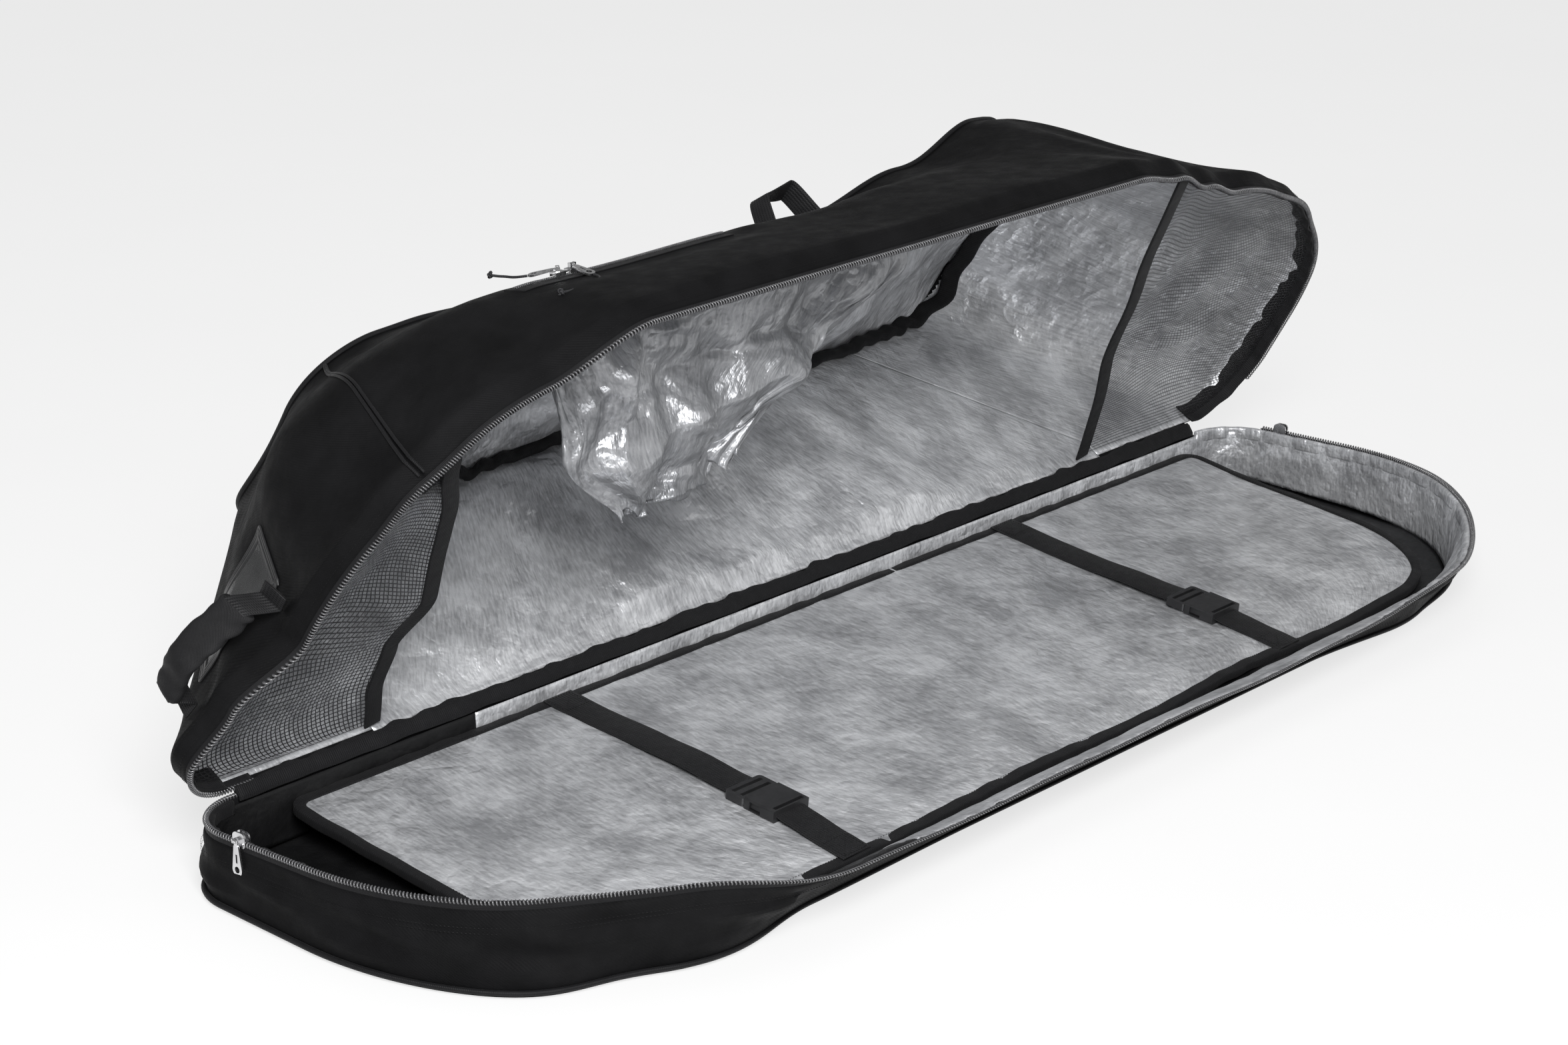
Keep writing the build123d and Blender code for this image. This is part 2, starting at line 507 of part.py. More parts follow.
half = MAIN_SLIDER_LENGTH / 2
outer_cheek = coil_inset - FIT - MAIN_SLIDER_WALL
inner_cheek = coil_inset + COIL_WIDTH + FIT + MAIN_SLIDER_WALL
cheek = MAIN_SLIDER_CHEEK
body = rim_block(outer_cheek, outer_cheek + MAIN_SLIDER_WALL, half, -cheek, cheek)
body = body + rim_block(inner_cheek - MAIN_SLIDER_WALL, inner_cheek, half, -cheek, cheek)
body = fillet(body.edges().filter_by(Axis.X), 3 * MAIN_SLIDER_WALL)
body = body + rim_block(outer_cheek, inner_cheek, half, -MAIN_SLIDER_WEB / 2, MAIN_SLIDER_WEB / 2)
pin_out = EYE_RADIUS + EYE_CLEARANCE
main_pin = Pos(HALF_LENGTH - outer_cheek + pin_out, 0, 0) * Rot(0, 90, 0)
body = body + main_pin * ears(pin_out)
main_pull = main_pin * teardrop(MAIN_PULL_LENGTH, MAIN_PULL_WIDTH, PULL_THICKNESS)
park = TRAY_RIM * Pos(0, -MAIN_SLIDER_FROM_HINGE, 0)
save(park * body, "main_slider_right")
save(park * main_pull, "main_pull_right")
save(park * mirror(body, about=Plane.YZ), "main_slider_left")
save(park * mirror(main_pull, about=Plane.YZ), "main_pull_left")

# ---- cords on the pocket's pulls: points from each pull's tip, in the lid's front side's own frame ----
CORD_ROUTES = {
    "left": [(-25.0, 22.0, 2.2), (-28.0, 29.0, 1.5), (-28.5, 37.0, 1.4), (-32.0, 44.0, 1.5), (-35.0, 50.0, 2.4)],
    "right": [(-1.0, -34.0, 1.7), (-6.0, -41.0, 1.4), (-15.0, -45.0, 1.4), (-26.0, -44.0, 1.4), (-37.0, -46.5, 1.4),
              (-48.0, -52.0, 1.4), (-59.0, -55.0, 1.6), (-68.0, -54.0, 2.4)],
}
KNOT_RADIUS = 2.2


def cord(points):
    """Round cord of straight runs and arcs, each arc as large as its two runs allow, with a knot at its end."""
    points = [Vector(*point) for point in points]
    radii = []
    for before, here, after in zip(points, points[1:], points[2:]):
        turn = (here - before).get_angle(after - here)
        run = min((here - before).length, (after - here).length)
        radii.append(0.45 * run * cos(radians(turn / 2)) / sin(radians(turn / 2)))
    path = FilletPolyline(*points, radius=radii)
    section = Plane(origin=path @ 0, z_dir=path % 0) * Circle(CORD_RADIUS)
    tube = sweep(section, path)
    expected = path.length * CORD_RADIUS**2 * pi
    print("cord length", round(path.length, 1), "volume ratio", round(tube.volume / expected, 3))
    print("radii", [round(radius, 1) for radius in radii])
    return tube + Pos(*points[-1]) * Sphere(KNOT_RADIUS)


for name, x, heading, droop in zip(("left", "right"), SLIDER_X, SLIDER_HEADINGS, PULL_DROOPS):
    reach = (PULL_LENGTH + FIT) * cos(radians(droop))
    tip_height = pin_height - (PULL_LENGTH + FIT) * sin(radians(droop))
    tip = (reach * cos(radians(heading)), reach * sin(radians(heading)), tip_height)
    here = FRONT_SIDE * Pos(x, POCKET_ZIP_PLACE, 0)
    save_lid(here * cord([tip] + CORD_ROUTES[name]), f"pocket_cord_{name}")
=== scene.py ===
# %% [markdown]
# # A padded board bag, lying open
# The bag is a shallow tray, a deep lid on a sewn hinge, and a loose mat with two buckled straps between them.
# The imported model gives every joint, fitting and size; this lesson makes the cloth around it.
# Nearly every piece is a thin surface worked out with numpy, because cloth bends along its seams, and one formula
# for the bag's outline then serves walls, linings, zips and welts alike.

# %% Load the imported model
import bpy
import bmesh
import json
import math
import numpy as np
from mathutils import Matrix, Vector


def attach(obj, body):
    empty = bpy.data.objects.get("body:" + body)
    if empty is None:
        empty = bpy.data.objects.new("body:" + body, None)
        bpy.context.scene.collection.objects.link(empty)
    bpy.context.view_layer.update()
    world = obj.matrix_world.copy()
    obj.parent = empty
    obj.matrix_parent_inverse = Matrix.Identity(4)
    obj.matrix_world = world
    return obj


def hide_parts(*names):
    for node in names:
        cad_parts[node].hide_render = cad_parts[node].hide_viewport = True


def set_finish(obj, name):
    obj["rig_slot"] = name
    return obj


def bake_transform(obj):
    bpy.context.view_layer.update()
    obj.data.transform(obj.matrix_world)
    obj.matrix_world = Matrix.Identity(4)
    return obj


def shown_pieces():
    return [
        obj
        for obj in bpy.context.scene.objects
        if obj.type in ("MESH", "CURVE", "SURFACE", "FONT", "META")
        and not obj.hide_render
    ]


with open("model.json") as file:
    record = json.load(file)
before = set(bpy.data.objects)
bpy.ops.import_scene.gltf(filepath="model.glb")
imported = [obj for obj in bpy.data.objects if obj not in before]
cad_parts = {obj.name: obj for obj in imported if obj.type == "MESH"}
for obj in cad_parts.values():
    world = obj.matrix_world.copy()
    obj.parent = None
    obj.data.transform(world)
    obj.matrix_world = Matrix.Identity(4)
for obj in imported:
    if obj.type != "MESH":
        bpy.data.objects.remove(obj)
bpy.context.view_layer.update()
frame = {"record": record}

# %% [markdown]
# ## Array helpers
# Points are numpy arrays whose last axis holds the coordinates, so one formula can treat a line or a whole grid.

# %% Array helpers
def coords(*parts):
    """Points from their coordinates, each a number or an array."""
    return np.stack(np.broadcast_arrays(*parts), axis=-1)


def at_height(flat, z):
    """Flat points with z as their third coordinate."""
    return coords(flat[..., 0], flat[..., 1], z)


def unit(vectors):
    """Vectors scaled to length 1."""
    return vectors / np.linalg.norm(vectors, axis=-1, keepdims=True)


def smooth(t):
    """Eases from 0 to 1 with no kink at either end: 3t^2 - 2t^3."""
    t = np.clip(t, 0.0, 1.0)
    return t * t * (3 - 2 * t)


def eased(x, knots):
    """Curve through (x, value) knots, eased between each two, and level beyond the first and last."""
    places, values = np.array(knots, float).T
    k = np.clip(np.searchsorted(places, x) - 1, 0, len(places) - 2)
    share = smooth((x - places[k]) / (places[k + 1] - places[k]))
    return values[k] * (1 - share) + values[k + 1] * share


def link(name, data):
    """New object that holds data, in the scene."""
    made = bpy.data.objects.new(name, data)
    bpy.context.collection.objects.link(made)
    return made


# %% [markdown]
# ## Camera
# A long lens from the front left, a little above the bag, shows the tray, the open lid and its inside together.
# The camera is built from an aim point, a distance and three angles, so that each can be read and changed.

# %% Camera
AIM = np.array([0.0781, 0.2997, 0.1])
DISTANCE = 3.6342
AZIMUTH = -0.854
ELEVATION = 0.3528
ROLL = 0.0297
LENS = 80.13
back = np.array([math.sin(AZIMUTH) * math.cos(ELEVATION), -math.cos(AZIMUTH) * math.cos(ELEVATION),
                 math.sin(ELEVATION)])
level = unit(np.cross(-back, [0.0, 0.0, 1.0]))
upright = np.cross(level, -back)
right_edge = math.cos(ROLL) * level + math.sin(ROLL) * upright
top_edge = math.cos(ROLL) * upright - math.sin(ROLL) * level
camera_data = bpy.data.cameras.new("camera")
camera_data.lens = LENS
camera_data.sensor_width = 36.0
camera = link("camera", camera_data)
turn = Matrix(np.stack([right_edge, top_edge, back], axis=1).tolist())
camera.matrix_world = Matrix.Translation(Vector(AIM + DISTANCE * back)) @ turn.to_4x4()
bpy.context.scene.camera = camera

# %% [markdown]
# ## The bag's own coordinates
# The lid is easiest to think about closed, with its mouth level: x along the bag, y across it, z deep into the lid.
# `open_lid` then turns such points about the hinge, as the real lid is thrown open.
# Fittings lie on the lid's sloping front and left sides, so each side gets coordinates of its own.

# %% Sizes and the lid's turn
HALF_LENGTH = 0.780
HALF_WIDTH = 0.235
HINGE_Z = 0.070
LID_ANGLE = math.radians(62.0)
BAND_TOP = 0.030
GUSSET_TOP = 0.2435
RIM_SLOPE = math.tan(math.radians(3.045))
MOUTH = (-HALF_LENGTH, HALF_LENGTH, -HALF_WIDTH, HALF_WIDTH, 0.300, 0.060)
ROOF = (-0.560, 0.490, -0.095, 0.205, 0.080, 0.080)


def open_lid(points):
    """Closed-lid points turned about the hinge line, which lies at y = HALF_WIDTH and z = HINGE_Z."""
    c, s = math.cos(LID_ANGLE), math.sin(LID_ANGLE)
    x, y, z = points[..., 0], points[..., 1] - HALF_WIDTH, points[..., 2]
    return coords(x, HALF_WIDTH + y * c + z * s, HINGE_Z - y * s + z * c)


def side_coords(origin, along, inwards, slope_run):
    """Function that places (distance along a lid side, up its slope, outwards) in closed-lid space. The side leans
    inwards by slope_run between the band and the roof."""
    rise = GUSSET_TOP - BAND_TOP
    slope = math.hypot(slope_run, rise)
    up = (slope_run * np.array(inwards) + [0.0, 0.0, rise]) / slope
    out = ([0.0, 0.0, slope_run] - rise * np.array(inwards)) / slope

    def place(points):
        p = np.asarray(points, float)
        return np.array(origin) + p[..., :1] * along + p[..., 1:2] * up + p[..., 2:3] * out
    return place


on_front_side = side_coords((0.0, -HALF_WIDTH, BAND_TOP), [1, 0, 0], (0.0, 1.0, 0.0), 0.140)
on_left_side = side_coords((-HALF_LENGTH, 0.0, BAND_TOP), [0, -1, 0], (1.0, 0.0, 0.0), 0.220)

# %% [markdown]
# ## Pull cords
# Two limp braided cords hang on the outer pocket's pull tabs. Each follows one smooth NURBS line near a few route
# points, given in millimetres from its slider. The line is read back as points and swept into a tube further down.

# %% Pull cords
CORD_DIAMETER = 0.0024
ZIP_UP = 0.125
CORDS = {
    "left": (-0.390, 0.0364, [(-20.67, 17.34, 2.84), (-25.0, 22.0, 2.2), (-28.0, 29.0, 1.5), (-28.5, 37.0, 1.4),
                              (-32.0, 44.0, 1.5), (-35.0, 50.0, 2.4)]),
    "right": (-0.372, 0.0801, [(0.0, -26.8, 1.90), (-1.0, -34.0, 1.7), (-6.0, -41.0, 1.4), (-15.0, -45.0, 1.4),
                               (-26.0, -44.0, 1.4), (-37.0, -46.5, 1.4), (-48.0, -52.0, 1.4), (-59.0, -55.0, 1.6),
                               (-68.0, -54.0, 2.4)]),
}
pull_cords = {}
for side, (slider_x, cord_length, route) in CORDS.items():
    route_points = open_lid(on_front_side(np.array(route) / 1000 + [slider_x, ZIP_UP, 0.0]))
    curve = bpy.data.curves.new(f"pull_cord_{side}", "CURVE")
    curve.dimensions = "3D"
    spline = curve.splines.new("NURBS")
    spline.points.add(len(route_points) - 1)
    spline.points.foreach_set("co", np.c_[route_points, np.ones(len(route_points))].ravel())
    spline.order_u = 3
    spline.use_endpoint_u = True
    curve.resolution_u = 10
    route_line = link("route_line", curve)
    line_mesh = bpy.data.meshes.new_from_object(route_line)
    line = np.empty(3 * len(line_mesh.vertices), np.float32)
    line_mesh.vertices.foreach_get("co", line)
    bpy.data.objects.remove(route_line)
    pull_cords[side] = (line.reshape(-1, 3).astype(float), route_points, cord_length)
    print(side, "cord", len(line_mesh.vertices), "points")

# %% [markdown]
# ## Outline of the bag
# Seen from above, tray and lid share one outline: straight sides joined by quarter turns, wide ones at the mouth
# side and small ones at the hinge. One number s runs round it, from 0 to 8, a whole number for each side or turn.

# %% Outline and steps round it
def outline(s, left, right, front, back, front_radius, back_radius):
    """Point and inward direction at s. Each corner has a centre and a radius; a side mixes two corners in a
    straight line, and a corner turns its outward direction by a quarter circle about its centre."""
    s = np.asarray(s, float) % 8.0
    corner = np.floor(s / 2).astype(int) % 4
    share = s - 2 * np.floor(s / 2)
    along, turned = np.clip(share, 0, 1), np.clip(share - 1, 0, 1)
    centre_x = np.array([right - front_radius, right - back_radius, left + back_radius, left + front_radius])
    centre_y = np.array([front + front_radius, back - back_radius, back - back_radius, front + front_radius])
    radius = np.array([front_radius, back_radius, back_radius, front_radius])
    mix = lambda values: values[corner - 1] * (1 - along) + values[corner] * along
    angle = (corner - 1 + turned) * math.pi / 2
    outward = coords(np.cos(angle), np.sin(angle))
    return coords(mix(centre_x), mix(centre_y)) + mix(radius)[..., None] * outward, -outward


def outline_area(box):
    """Area inside a rounded outline, by the shoelace sum of its points."""
    x, y = outline(np.linspace(0, 8, 2001)[:-1], *box)[0].T
    return round(float(abs(np.sum(x * np.roll(y, -1) - y * np.roll(x, -1)))) / 2, 3)


S_TABLE = np.linspace(-4.0, 12.0, 6401)
mouth_line = outline(S_TABLE, *MOUTH)[0]
L_TABLE = np.r_[0.0, np.cumsum(np.hypot(*np.diff(mouth_line, axis=0).T))]
L_TABLE -= np.interp(0.0, S_TABLE, L_TABLE)


def rim_length(s):
    """Distance along the mouth's outline from s = 0, in metres."""
    return np.interp(s, S_TABLE, L_TABLE)


def rim_steps(start, end, spacing):
    """Values of s from start to end, evenly spaced along the mouth's outline."""
    a, b = rim_length(start), rim_length(end)
    count = max(2, int(round((b - a) / spacing)) + 1)
    return np.interp(np.linspace(a, b, count), L_TABLE, S_TABLE)


# %% [markdown]
# ## Folds and crumples
# Cloth never lies even. Two kinds of unevenness are used: slow waves, a sum of sines in seeded random directions,
# and creases, a sum of folded (triangle) waves whose sharp ridges meet as they do in coated fabric.

# %% Seeded unevenness
def waves(points, size, seed, count=7):
    """Mean of sines of random direction and phase, each with a wavelength near size; from about -1 to 1."""
    rng = np.random.default_rng(seed)
    direction = unit(rng.normal(size=(count, points.shape[-1])))
    rate = 2 * math.pi / (size * rng.uniform(0.7, 1.5, count))
    phase = rng.uniform(0, 2 * math.pi, count)
    return np.sin(points @ (direction * rate[:, None]).T + phase).sum(axis=-1) / math.sqrt(count)


def creases(points, size, seed, count=5, bend=0.35):
    """Sum of triangle waves along random directions, their place nudged by slow waves so that no crease is straight
    for long; ridges at 1, valleys at 0."""
    rng = np.random.default_rng(seed)
    total = np.zeros(points.shape[:-1])
    for index in range(count):
        direction = unit(rng.normal(size=points.shape[-1]))
        length = size * rng.uniform(0.6, 1.7)
        nudge = rng.uniform()
        place = points @ direction / length + nudge + bend * waves(points, 2.2 * size, seed * 31 + index, 4)
        total += np.abs(2 * (place - np.floor(place + 0.5)))
    return total / count


# %% [markdown]
# ## How the bag slumps
# The lid is soft: between its stiffer ends the ridge sinks, the rim's rounded ends draw in, and the right end
# puffs out. The tray's front wall leans over to the right of the middle, until its lining shows.
# Each is a smooth shift of space, so skin, lining, welt and zip move together and keep their order.

# %% Settling of the lid and slump of the tray
RIDGE_DIP = [(-0.60, 0.040), (-0.45, 0.050), (-0.10, 0.056), (0.10, 0.052), (0.24, 0.026), (0.36, 0.0)]
RIGHT_DRAW = [(0.28, 0.0), (0.36, 0.015), (0.43, 0.042), (0.50, 0.064), (0.60, 0.066), (0.70, 0.050), (0.78, 0.034)]
LEFT_DRAW = [(-0.78, 0.020), (-0.66, 0.040), (-0.54, 0.042), (-0.42, 0.0)]
LEFT_PULL = [(0.05, 0.0), (0.12, 0.30), (0.19, 1.0), (0.31, 1.0), (0.38, 0.80), (0.47, 0.50)]
LEAN = [(-0.74, 0.0), (-0.60, 0.35), (-0.42, 0.95), (-0.2, 1.0), (0.35, 1.0), (0.55, 0.75), (0.70, 0.30), (0.78, 0.15)]


def settle(points):
    """Closed-lid points after the lid has sagged. The ridge drops straight down in the open pose, which is mostly
    towards the hinge; the ends' rims are drawn in by curves read along x and across w, the distance from the hinge."""
    x, w, d = points[..., 0], HALF_WIDTH - points[..., 1], points[..., 2]
    high = smooth((d - 0.130) / 0.110) * smooth((w - 0.02) / 0.26)
    drop = eased(x, RIDGE_DIP) * high
    draw = eased(x, RIGHT_DRAW) * (1 - 0.55 * smooth(d / 0.245)) + eased(x, LEFT_DRAW) * (1 - 0.8 * smooth(d / 0.2))
    swell = 0.020 * smooth((x - 0.26) / 0.16) * smooth((d - 0.05) / 0.19) * smooth(w / 0.1)
    pull = 0.080 * eased(w, LEFT_PULL) * smooth((-0.38 - x) / 0.33) * smooth(1 - d / 0.21)
    push = 0.022 * smooth((x - 0.55) / 0.2) * smooth((0.40 - w) / 0.15) * smooth(w / 0.1)
    ripple = 0.004 * waves(points, 0.24, 11) * smooth(d / 0.06) * smooth(w / 0.05)
    w2 = w - 0.88 * drop - draw * smooth(w / 0.30)
    return coords(x + pull + push, HALF_WIDTH - w2, d - 0.47 * drop + swell + ripple)


def on_lid(points):
    """Closed-lid points, settled and opened."""
    return open_lid(settle(points))


def rim_z(y):
    """Height of the tray's mouth plane above the ground, which rises from the hinge to the mouth side."""
    return HINGE_Z + (HALF_WIDTH - y) * RIM_SLOPE


def slump(points):
    """Tray points after its front wall has leaned over: the foot moves in, the rim comes down and out."""
    x, y, z = points[..., 0], points[..., 1], points[..., 2]
    share = np.clip(z / rim_z(y), 0, 1.1)
    near = smooth((-y - 0.06) / 0.14)
    lean = eased(x, LEAN) * near
    foot_in = 0.064 * (1 - share) * lean
    rim_out = 0.006 * share * lean
    corner_in = 0.018 * np.exp(-((x + 0.63) / 0.10) ** 2) * near
    corner_up = 0.008 * np.exp(-((x + 0.62) / 0.16) ** 2) * near * share
    ripple = 0.0025 * waves(points[..., :2], 0.22, 5) * share * near
    z2 = z * (1 - 0.38 * lean * smooth(share)) + corner_up + ripple
    return coords(x, y + foot_in - rim_out + corner_in, z2)


# %% [markdown]
# ## Surfaces of lid and tray
# A point of the lid's side is found from s, its depth and its inset from the outside. Below the seam band it follows
# the mouth's outline, and above it moves in a straight line towards the roof's smaller outline.
# A point of the tray's wall is found from s, a share of the rim's height plus an offset, and its inset.

# %% Lid and tray surfaces
def lid_point(s, depth, inset):
    """Mix of mouth and roof outlines, each moved inwards by inset, by the share of the depth above the band."""
    s, depth, inset = np.broadcast_arrays(np.asarray(s, float), depth, inset)
    at_mouth, inward = outline(s, *MOUTH)
    at_roof, _ = outline(s, *ROOF)
    share = np.clip((depth - BAND_TOP) / (GUSSET_TOP - BAND_TOP), 0, 1)[..., None]
    return on_lid(at_height((1 - share) * at_mouth + share * at_roof + inset[..., None] * inward, depth))


def tray_point(s, share, offset, inset):
    """Mouth outline moved inwards by inset, at share of the rim's height plus offset."""
    s, share, offset, inset = np.broadcast_arrays(np.asarray(s, float), share, offset, inset)
    flat, inward = outline(s, *MOUTH)
    flat = flat + inset[..., None] * inward
    return slump(at_height(flat, share * rim_z(flat[..., 1]) + offset))


def tray_rim(s, height, inset):
    """Tray surface read by height above or below the mouth plane."""
    return tray_point(s, 1.0, height, inset)


def tray_foot(s, height, inset):
    """Tray surface read by height above the ground at the wall's foot."""
    return tray_point(s, 0.0, height, inset)


def fill_outline(box, inset, columns, rows):
    """Grid that fills a rounded outline: rows from front to back, each from its left to its right end, where a row
    inside a corner's reach starts further in by the corner's own circle."""
    left, right, front, back, front_radius, back_radius = box
    left, right, front, back = left + inset, right - inset, front + inset, back - inset
    front_radius, back_radius = front_radius - inset, back_radius - inset
    crowded = (1 - np.cos(np.linspace(0, math.pi, rows))) / 2
    y = front + (0.5 * crowded + 0.5 * np.linspace(0, 1, rows)) * (back - front)
    reach = lambda gap, radius: radius - np.sqrt(np.clip(radius**2 - np.clip(radius - gap, 0, radius) ** 2, 0, None))
    cut = np.maximum(reach(y - front, front_radius), reach(back - y, back_radius))
    u = np.linspace(0, 1, columns)
    return coords((left + cut)[:, None] * (1 - u) + (right - cut)[:, None] * u, y[:, None])


# %% [markdown]
# ## From arrays to meshes
# Every grid of points becomes a mesh in one call, with a UV map in metres, so that a weave keeps its real scale
# however the cloth bends. Sheets get their thickness from a Solidify modifier, and profiles are closed at both ends.

# %% Mesh helpers
def grid_piece(name, points, u=None, v=None, closed_u=False, closed_v=False, flip=False):
    """Quads between neighbours of an (n, m, 3) array; closed directions join last to first, and open ends of a
    closed profile are capped. u and v are distances along the two directions, for the UV map."""
    n, m = points.shape[:2]
    i, j = np.meshgrid(np.arange(n if closed_u else n - 1), np.arange(m if closed_v else m - 1), indexing="ij")
    corners_i = np.stack([i, i + 1, i + 1, i], axis=-1).reshape(-1, 4)
    corners_j = np.stack([j, j, j + 1, j + 1], axis=-1).reshape(-1, 4)
    if flip:
        corners_i, corners_j = corners_i[:, ::-1], corners_j[:, ::-1]

    def distances(axis):
        gaps = np.diff(points, axis=axis, append=np.take(points, [0], axis=axis))
        return np.r_[0, np.cumsum(np.linalg.norm(gaps, axis=-1).mean(axis=1 - axis))]
    u = distances(0) if u is None else np.asarray(u)
    v = distances(1) if v is None else np.asarray(v)
    uv = np.stack([u[corners_i], v[corners_j]], axis=-1).reshape(-1, 2)
    quads = len(corners_i)
    loops = ((corners_i % n) * m + corners_j % m).ravel()
    starts, totals = np.arange(quads) * 4, np.full(quads, 4)
    if closed_v and not closed_u:
        ends = [np.arange(m)[::-1], (n - 1) * m + np.arange(m)]
        loops = np.concatenate([loops, *(end[::-1] if flip else end for end in ends)])
        starts, totals = np.r_[starts, quads * 4, quads * 4 + m], np.r_[totals, m, m]
        uv = np.concatenate([uv, np.zeros((2 * m, 2))])
    mesh = bpy.data.meshes.new(name)
    mesh.vertices.add(n * m)
    mesh.vertices.foreach_set("co", np.ascontiguousarray(points, np.float32).ravel())
    mesh.loops.add(len(loops))
    mesh.loops.foreach_set("vertex_index", loops.astype(np.int32))
    mesh.polygons.add(len(starts))
    mesh.polygons.foreach_set("loop_start", starts.astype(np.int32))
    mesh.polygons.foreach_set("loop_total", totals.astype(np.int32))
    mesh.update(calc_edges=True)
    mesh.polygons.foreach_set("use_smooth", np.ones(len(starts), bool))
    mesh.uv_layers.new(name="UVMap").data.foreach_set("uv", uv.astype(np.float32).ravel())
    return link(name, mesh)


def face_outwards(piece):
    """Turns a closed mesh's faces to point out of it."""
    work = bmesh.new()
    work.from_mesh(piece.data)
    bmesh.ops.recalc_face_normals(work, faces=work.faces)
    work.to_mesh(piece.data)
    work.free()
    return piece


def thicken(piece, thickness):
    """Cloth thickness, grown to the inner side of the faces."""
    solid = piece.modifiers.new("thickness", "SOLIDIFY")
    solid.thickness = thickness
    solid.offset = -1.0
    solid.use_rim = True
    return piece


def settle_on(piece, body, slot, *nodes):
    """Says which body the piece rides on, its material slot, and the CAD nodes that it stands for."""
    if body:
        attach(piece, body)
    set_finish(piece, slot)
    if nodes:
        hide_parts(*nodes)
    return piece


def rounded_profile(x0, x1, y0, y1, radius, count=3):
    """Closed cross-section: a rectangle with rounded corners, as (x, y) pairs going round once."""
    radius = min(radius, (x1 - x0) / 2 - 1e-6, (y1 - y0) / 2 - 1e-6)
    turns = np.linspace(0, math.pi / 2, count)
    parts = []
    for index, (cx, cy) in enumerate([(x1, y0), (x1, y1), (x0, y1), (x0, y0)]):
        angle = turns + (index - 1) * math.pi / 2
        mid_x = cx - radius if cx == x1 else cx + radius
        mid_y = cy - radius if cy == y1 else cy + radius
        parts.append(coords(mid_x + radius * np.cos(angle), mid_y + radius * np.sin(angle)))
    return np.concatenate(parts)


def round_profile(radius, count=8):
    """Closed circular cross-section."""
    angle = np.arange(count) * 2 * math.pi / count
    return coords(radius * np.cos(angle), radius * np.sin(angle))


def along_path(path, up, profile, name, closed=False):
    """Profile carried along a path: its first number runs sideways, its second along up."""
    step = np.roll(path, -1, axis=0) - np.roll(path, 1, axis=0) if closed else np.gradient(path, axis=0)
    step = unit(step)
    sideways = unit(np.cross(step, np.broadcast_to(up, path.shape)))
    upward = np.cross(sideways, step)
    points = path[:, None] + profile[None, :, :1] * sideways[:, None] + profile[None, :, 1:] * upward[:, None]
    return face_outwards(grid_piece(name, points, closed_u=closed, closed_v=True))


# %% [markdown]
# ## Tray: outer wall and floor
# The wall is one long padded band of black cloth. It is a sheet with a slight bulge between its seams, finely
# stepped along the rim so that the folds where it leans over can be soft. The floor is two rounded sheets.

# %% Tray wall and floor
OUTER_CLOTH, FLOOR_CLOTH, LINING_CLOTH, THIN_CLOTH = 0.0015, 0.0030, 0.0008, 0.0006
FOOT_SEAM, HEAD_SEAM = 0.0015, -0.0098
FLOOR_HEIGHT, FLOOR_INSET = 0.0050, 0.0063
FLOOR_GRID = (260, 76)
share = np.linspace(0, 1, 16)
steps = rim_steps(0.0, 8.0, 0.006)[:-1]
around = rim_length(steps)
between_seams = np.sin(math.pi * share)
ripple = waves(coords(around[:, None], 0.27 * share), 0.11, 21)
bulge = (-0.0035 - 0.0022 * ripple) * between_seams
points = tray_point(steps[:, None], share, FOOT_SEAM * (1 - share) + HEAD_SEAM * share, bulge)
tray_wall = grid_piece("tray_wall", points, u=np.r_[around, around[0] + rim_length(8.0)], v=share * 0.085,
                       closed_u=True)
settle_on(thicken(tray_wall, OUTER_CLOTH), "base", "black_cloth", "base_wall")


def floor_sheet(name, height, inset, thickness, unevenness, flip=False):
    """Sheet over the tray's outline at one height, slumped with the wall, with slow unevenness."""
    points = slump(at_height(fill_outline(MOUTH, inset, *FLOOR_GRID), height))
    points[..., 2] = height + unevenness
    return thicken(grid_piece(name, np.swapaxes(points, 0, 1), flip=flip), thickness)


underside = floor_sheet("tray_underside", height=0.0, inset=0.001, thickness=0.0012, unevenness=0.0, flip=True)
settle_on(underside, "base", "black_cloth", "base_floor_panel")
flat = fill_outline(MOUTH, FLOOR_INSET, *FLOOR_GRID)
lift = 0.0028 * (0.5 + 0.5 * waves(flat, 0.16, 31)) + 0.0030 * (1 - creases(flat, 0.12, 32)) ** 2
floor_lining = floor_sheet("tray_floor_lining", FLOOR_HEIGHT, FLOOR_INSET, FLOOR_CLOTH, lift)
settle_on(floor_lining, "base", "floor_cloth", "base_floor_lining", "base_floor_board")
outline_area(MOUTH)
print("areas of mouth and roof", outline_area(MOUTH), outline_area(ROOF))

# %% [markdown]
# ## Tray: lining and rim
# Inside, the wall is lined with silver coated cloth, except round the left end, which is black. The lining
# is rolled over a foam edge at the rim. Creases run down it, so its inset is a crease pattern read along the wall.

# %% Tray lining and rim roll
DARK_END = (4.80, 8.14)
SILVER_START = DARK_END[1] - 8.0
ALL_ROUND = (0.0, 8.0)
ZIP_RUN = (-3.02, 3.02)


def wall_lining(name, start, end, slot, seed, depth):
    """Sheet on the wall's inner side from s = start to end, creased inwards by up to depth."""
    s = rim_steps(start, end, 0.005)
    share = np.linspace(0, 1, 14)
    crease = 1 - creases(coords(rim_length(s)[:, None], share * 0.05), 0.07, seed)
    fold = depth * crease * np.sin(math.pi * np.clip(share, 0.02, 0.98))
    points = tray_point(s[:, None], share, 0.0075 - 0.0165 * share, 0.0064 + fold)
    piece = grid_piece(name, points, u=rim_length(s), v=share * 0.09, flip=True)
    settle_on(thicken(piece, THIN_CLOTH), "base", slot, "base_wall_lining", "base_wall_foam")


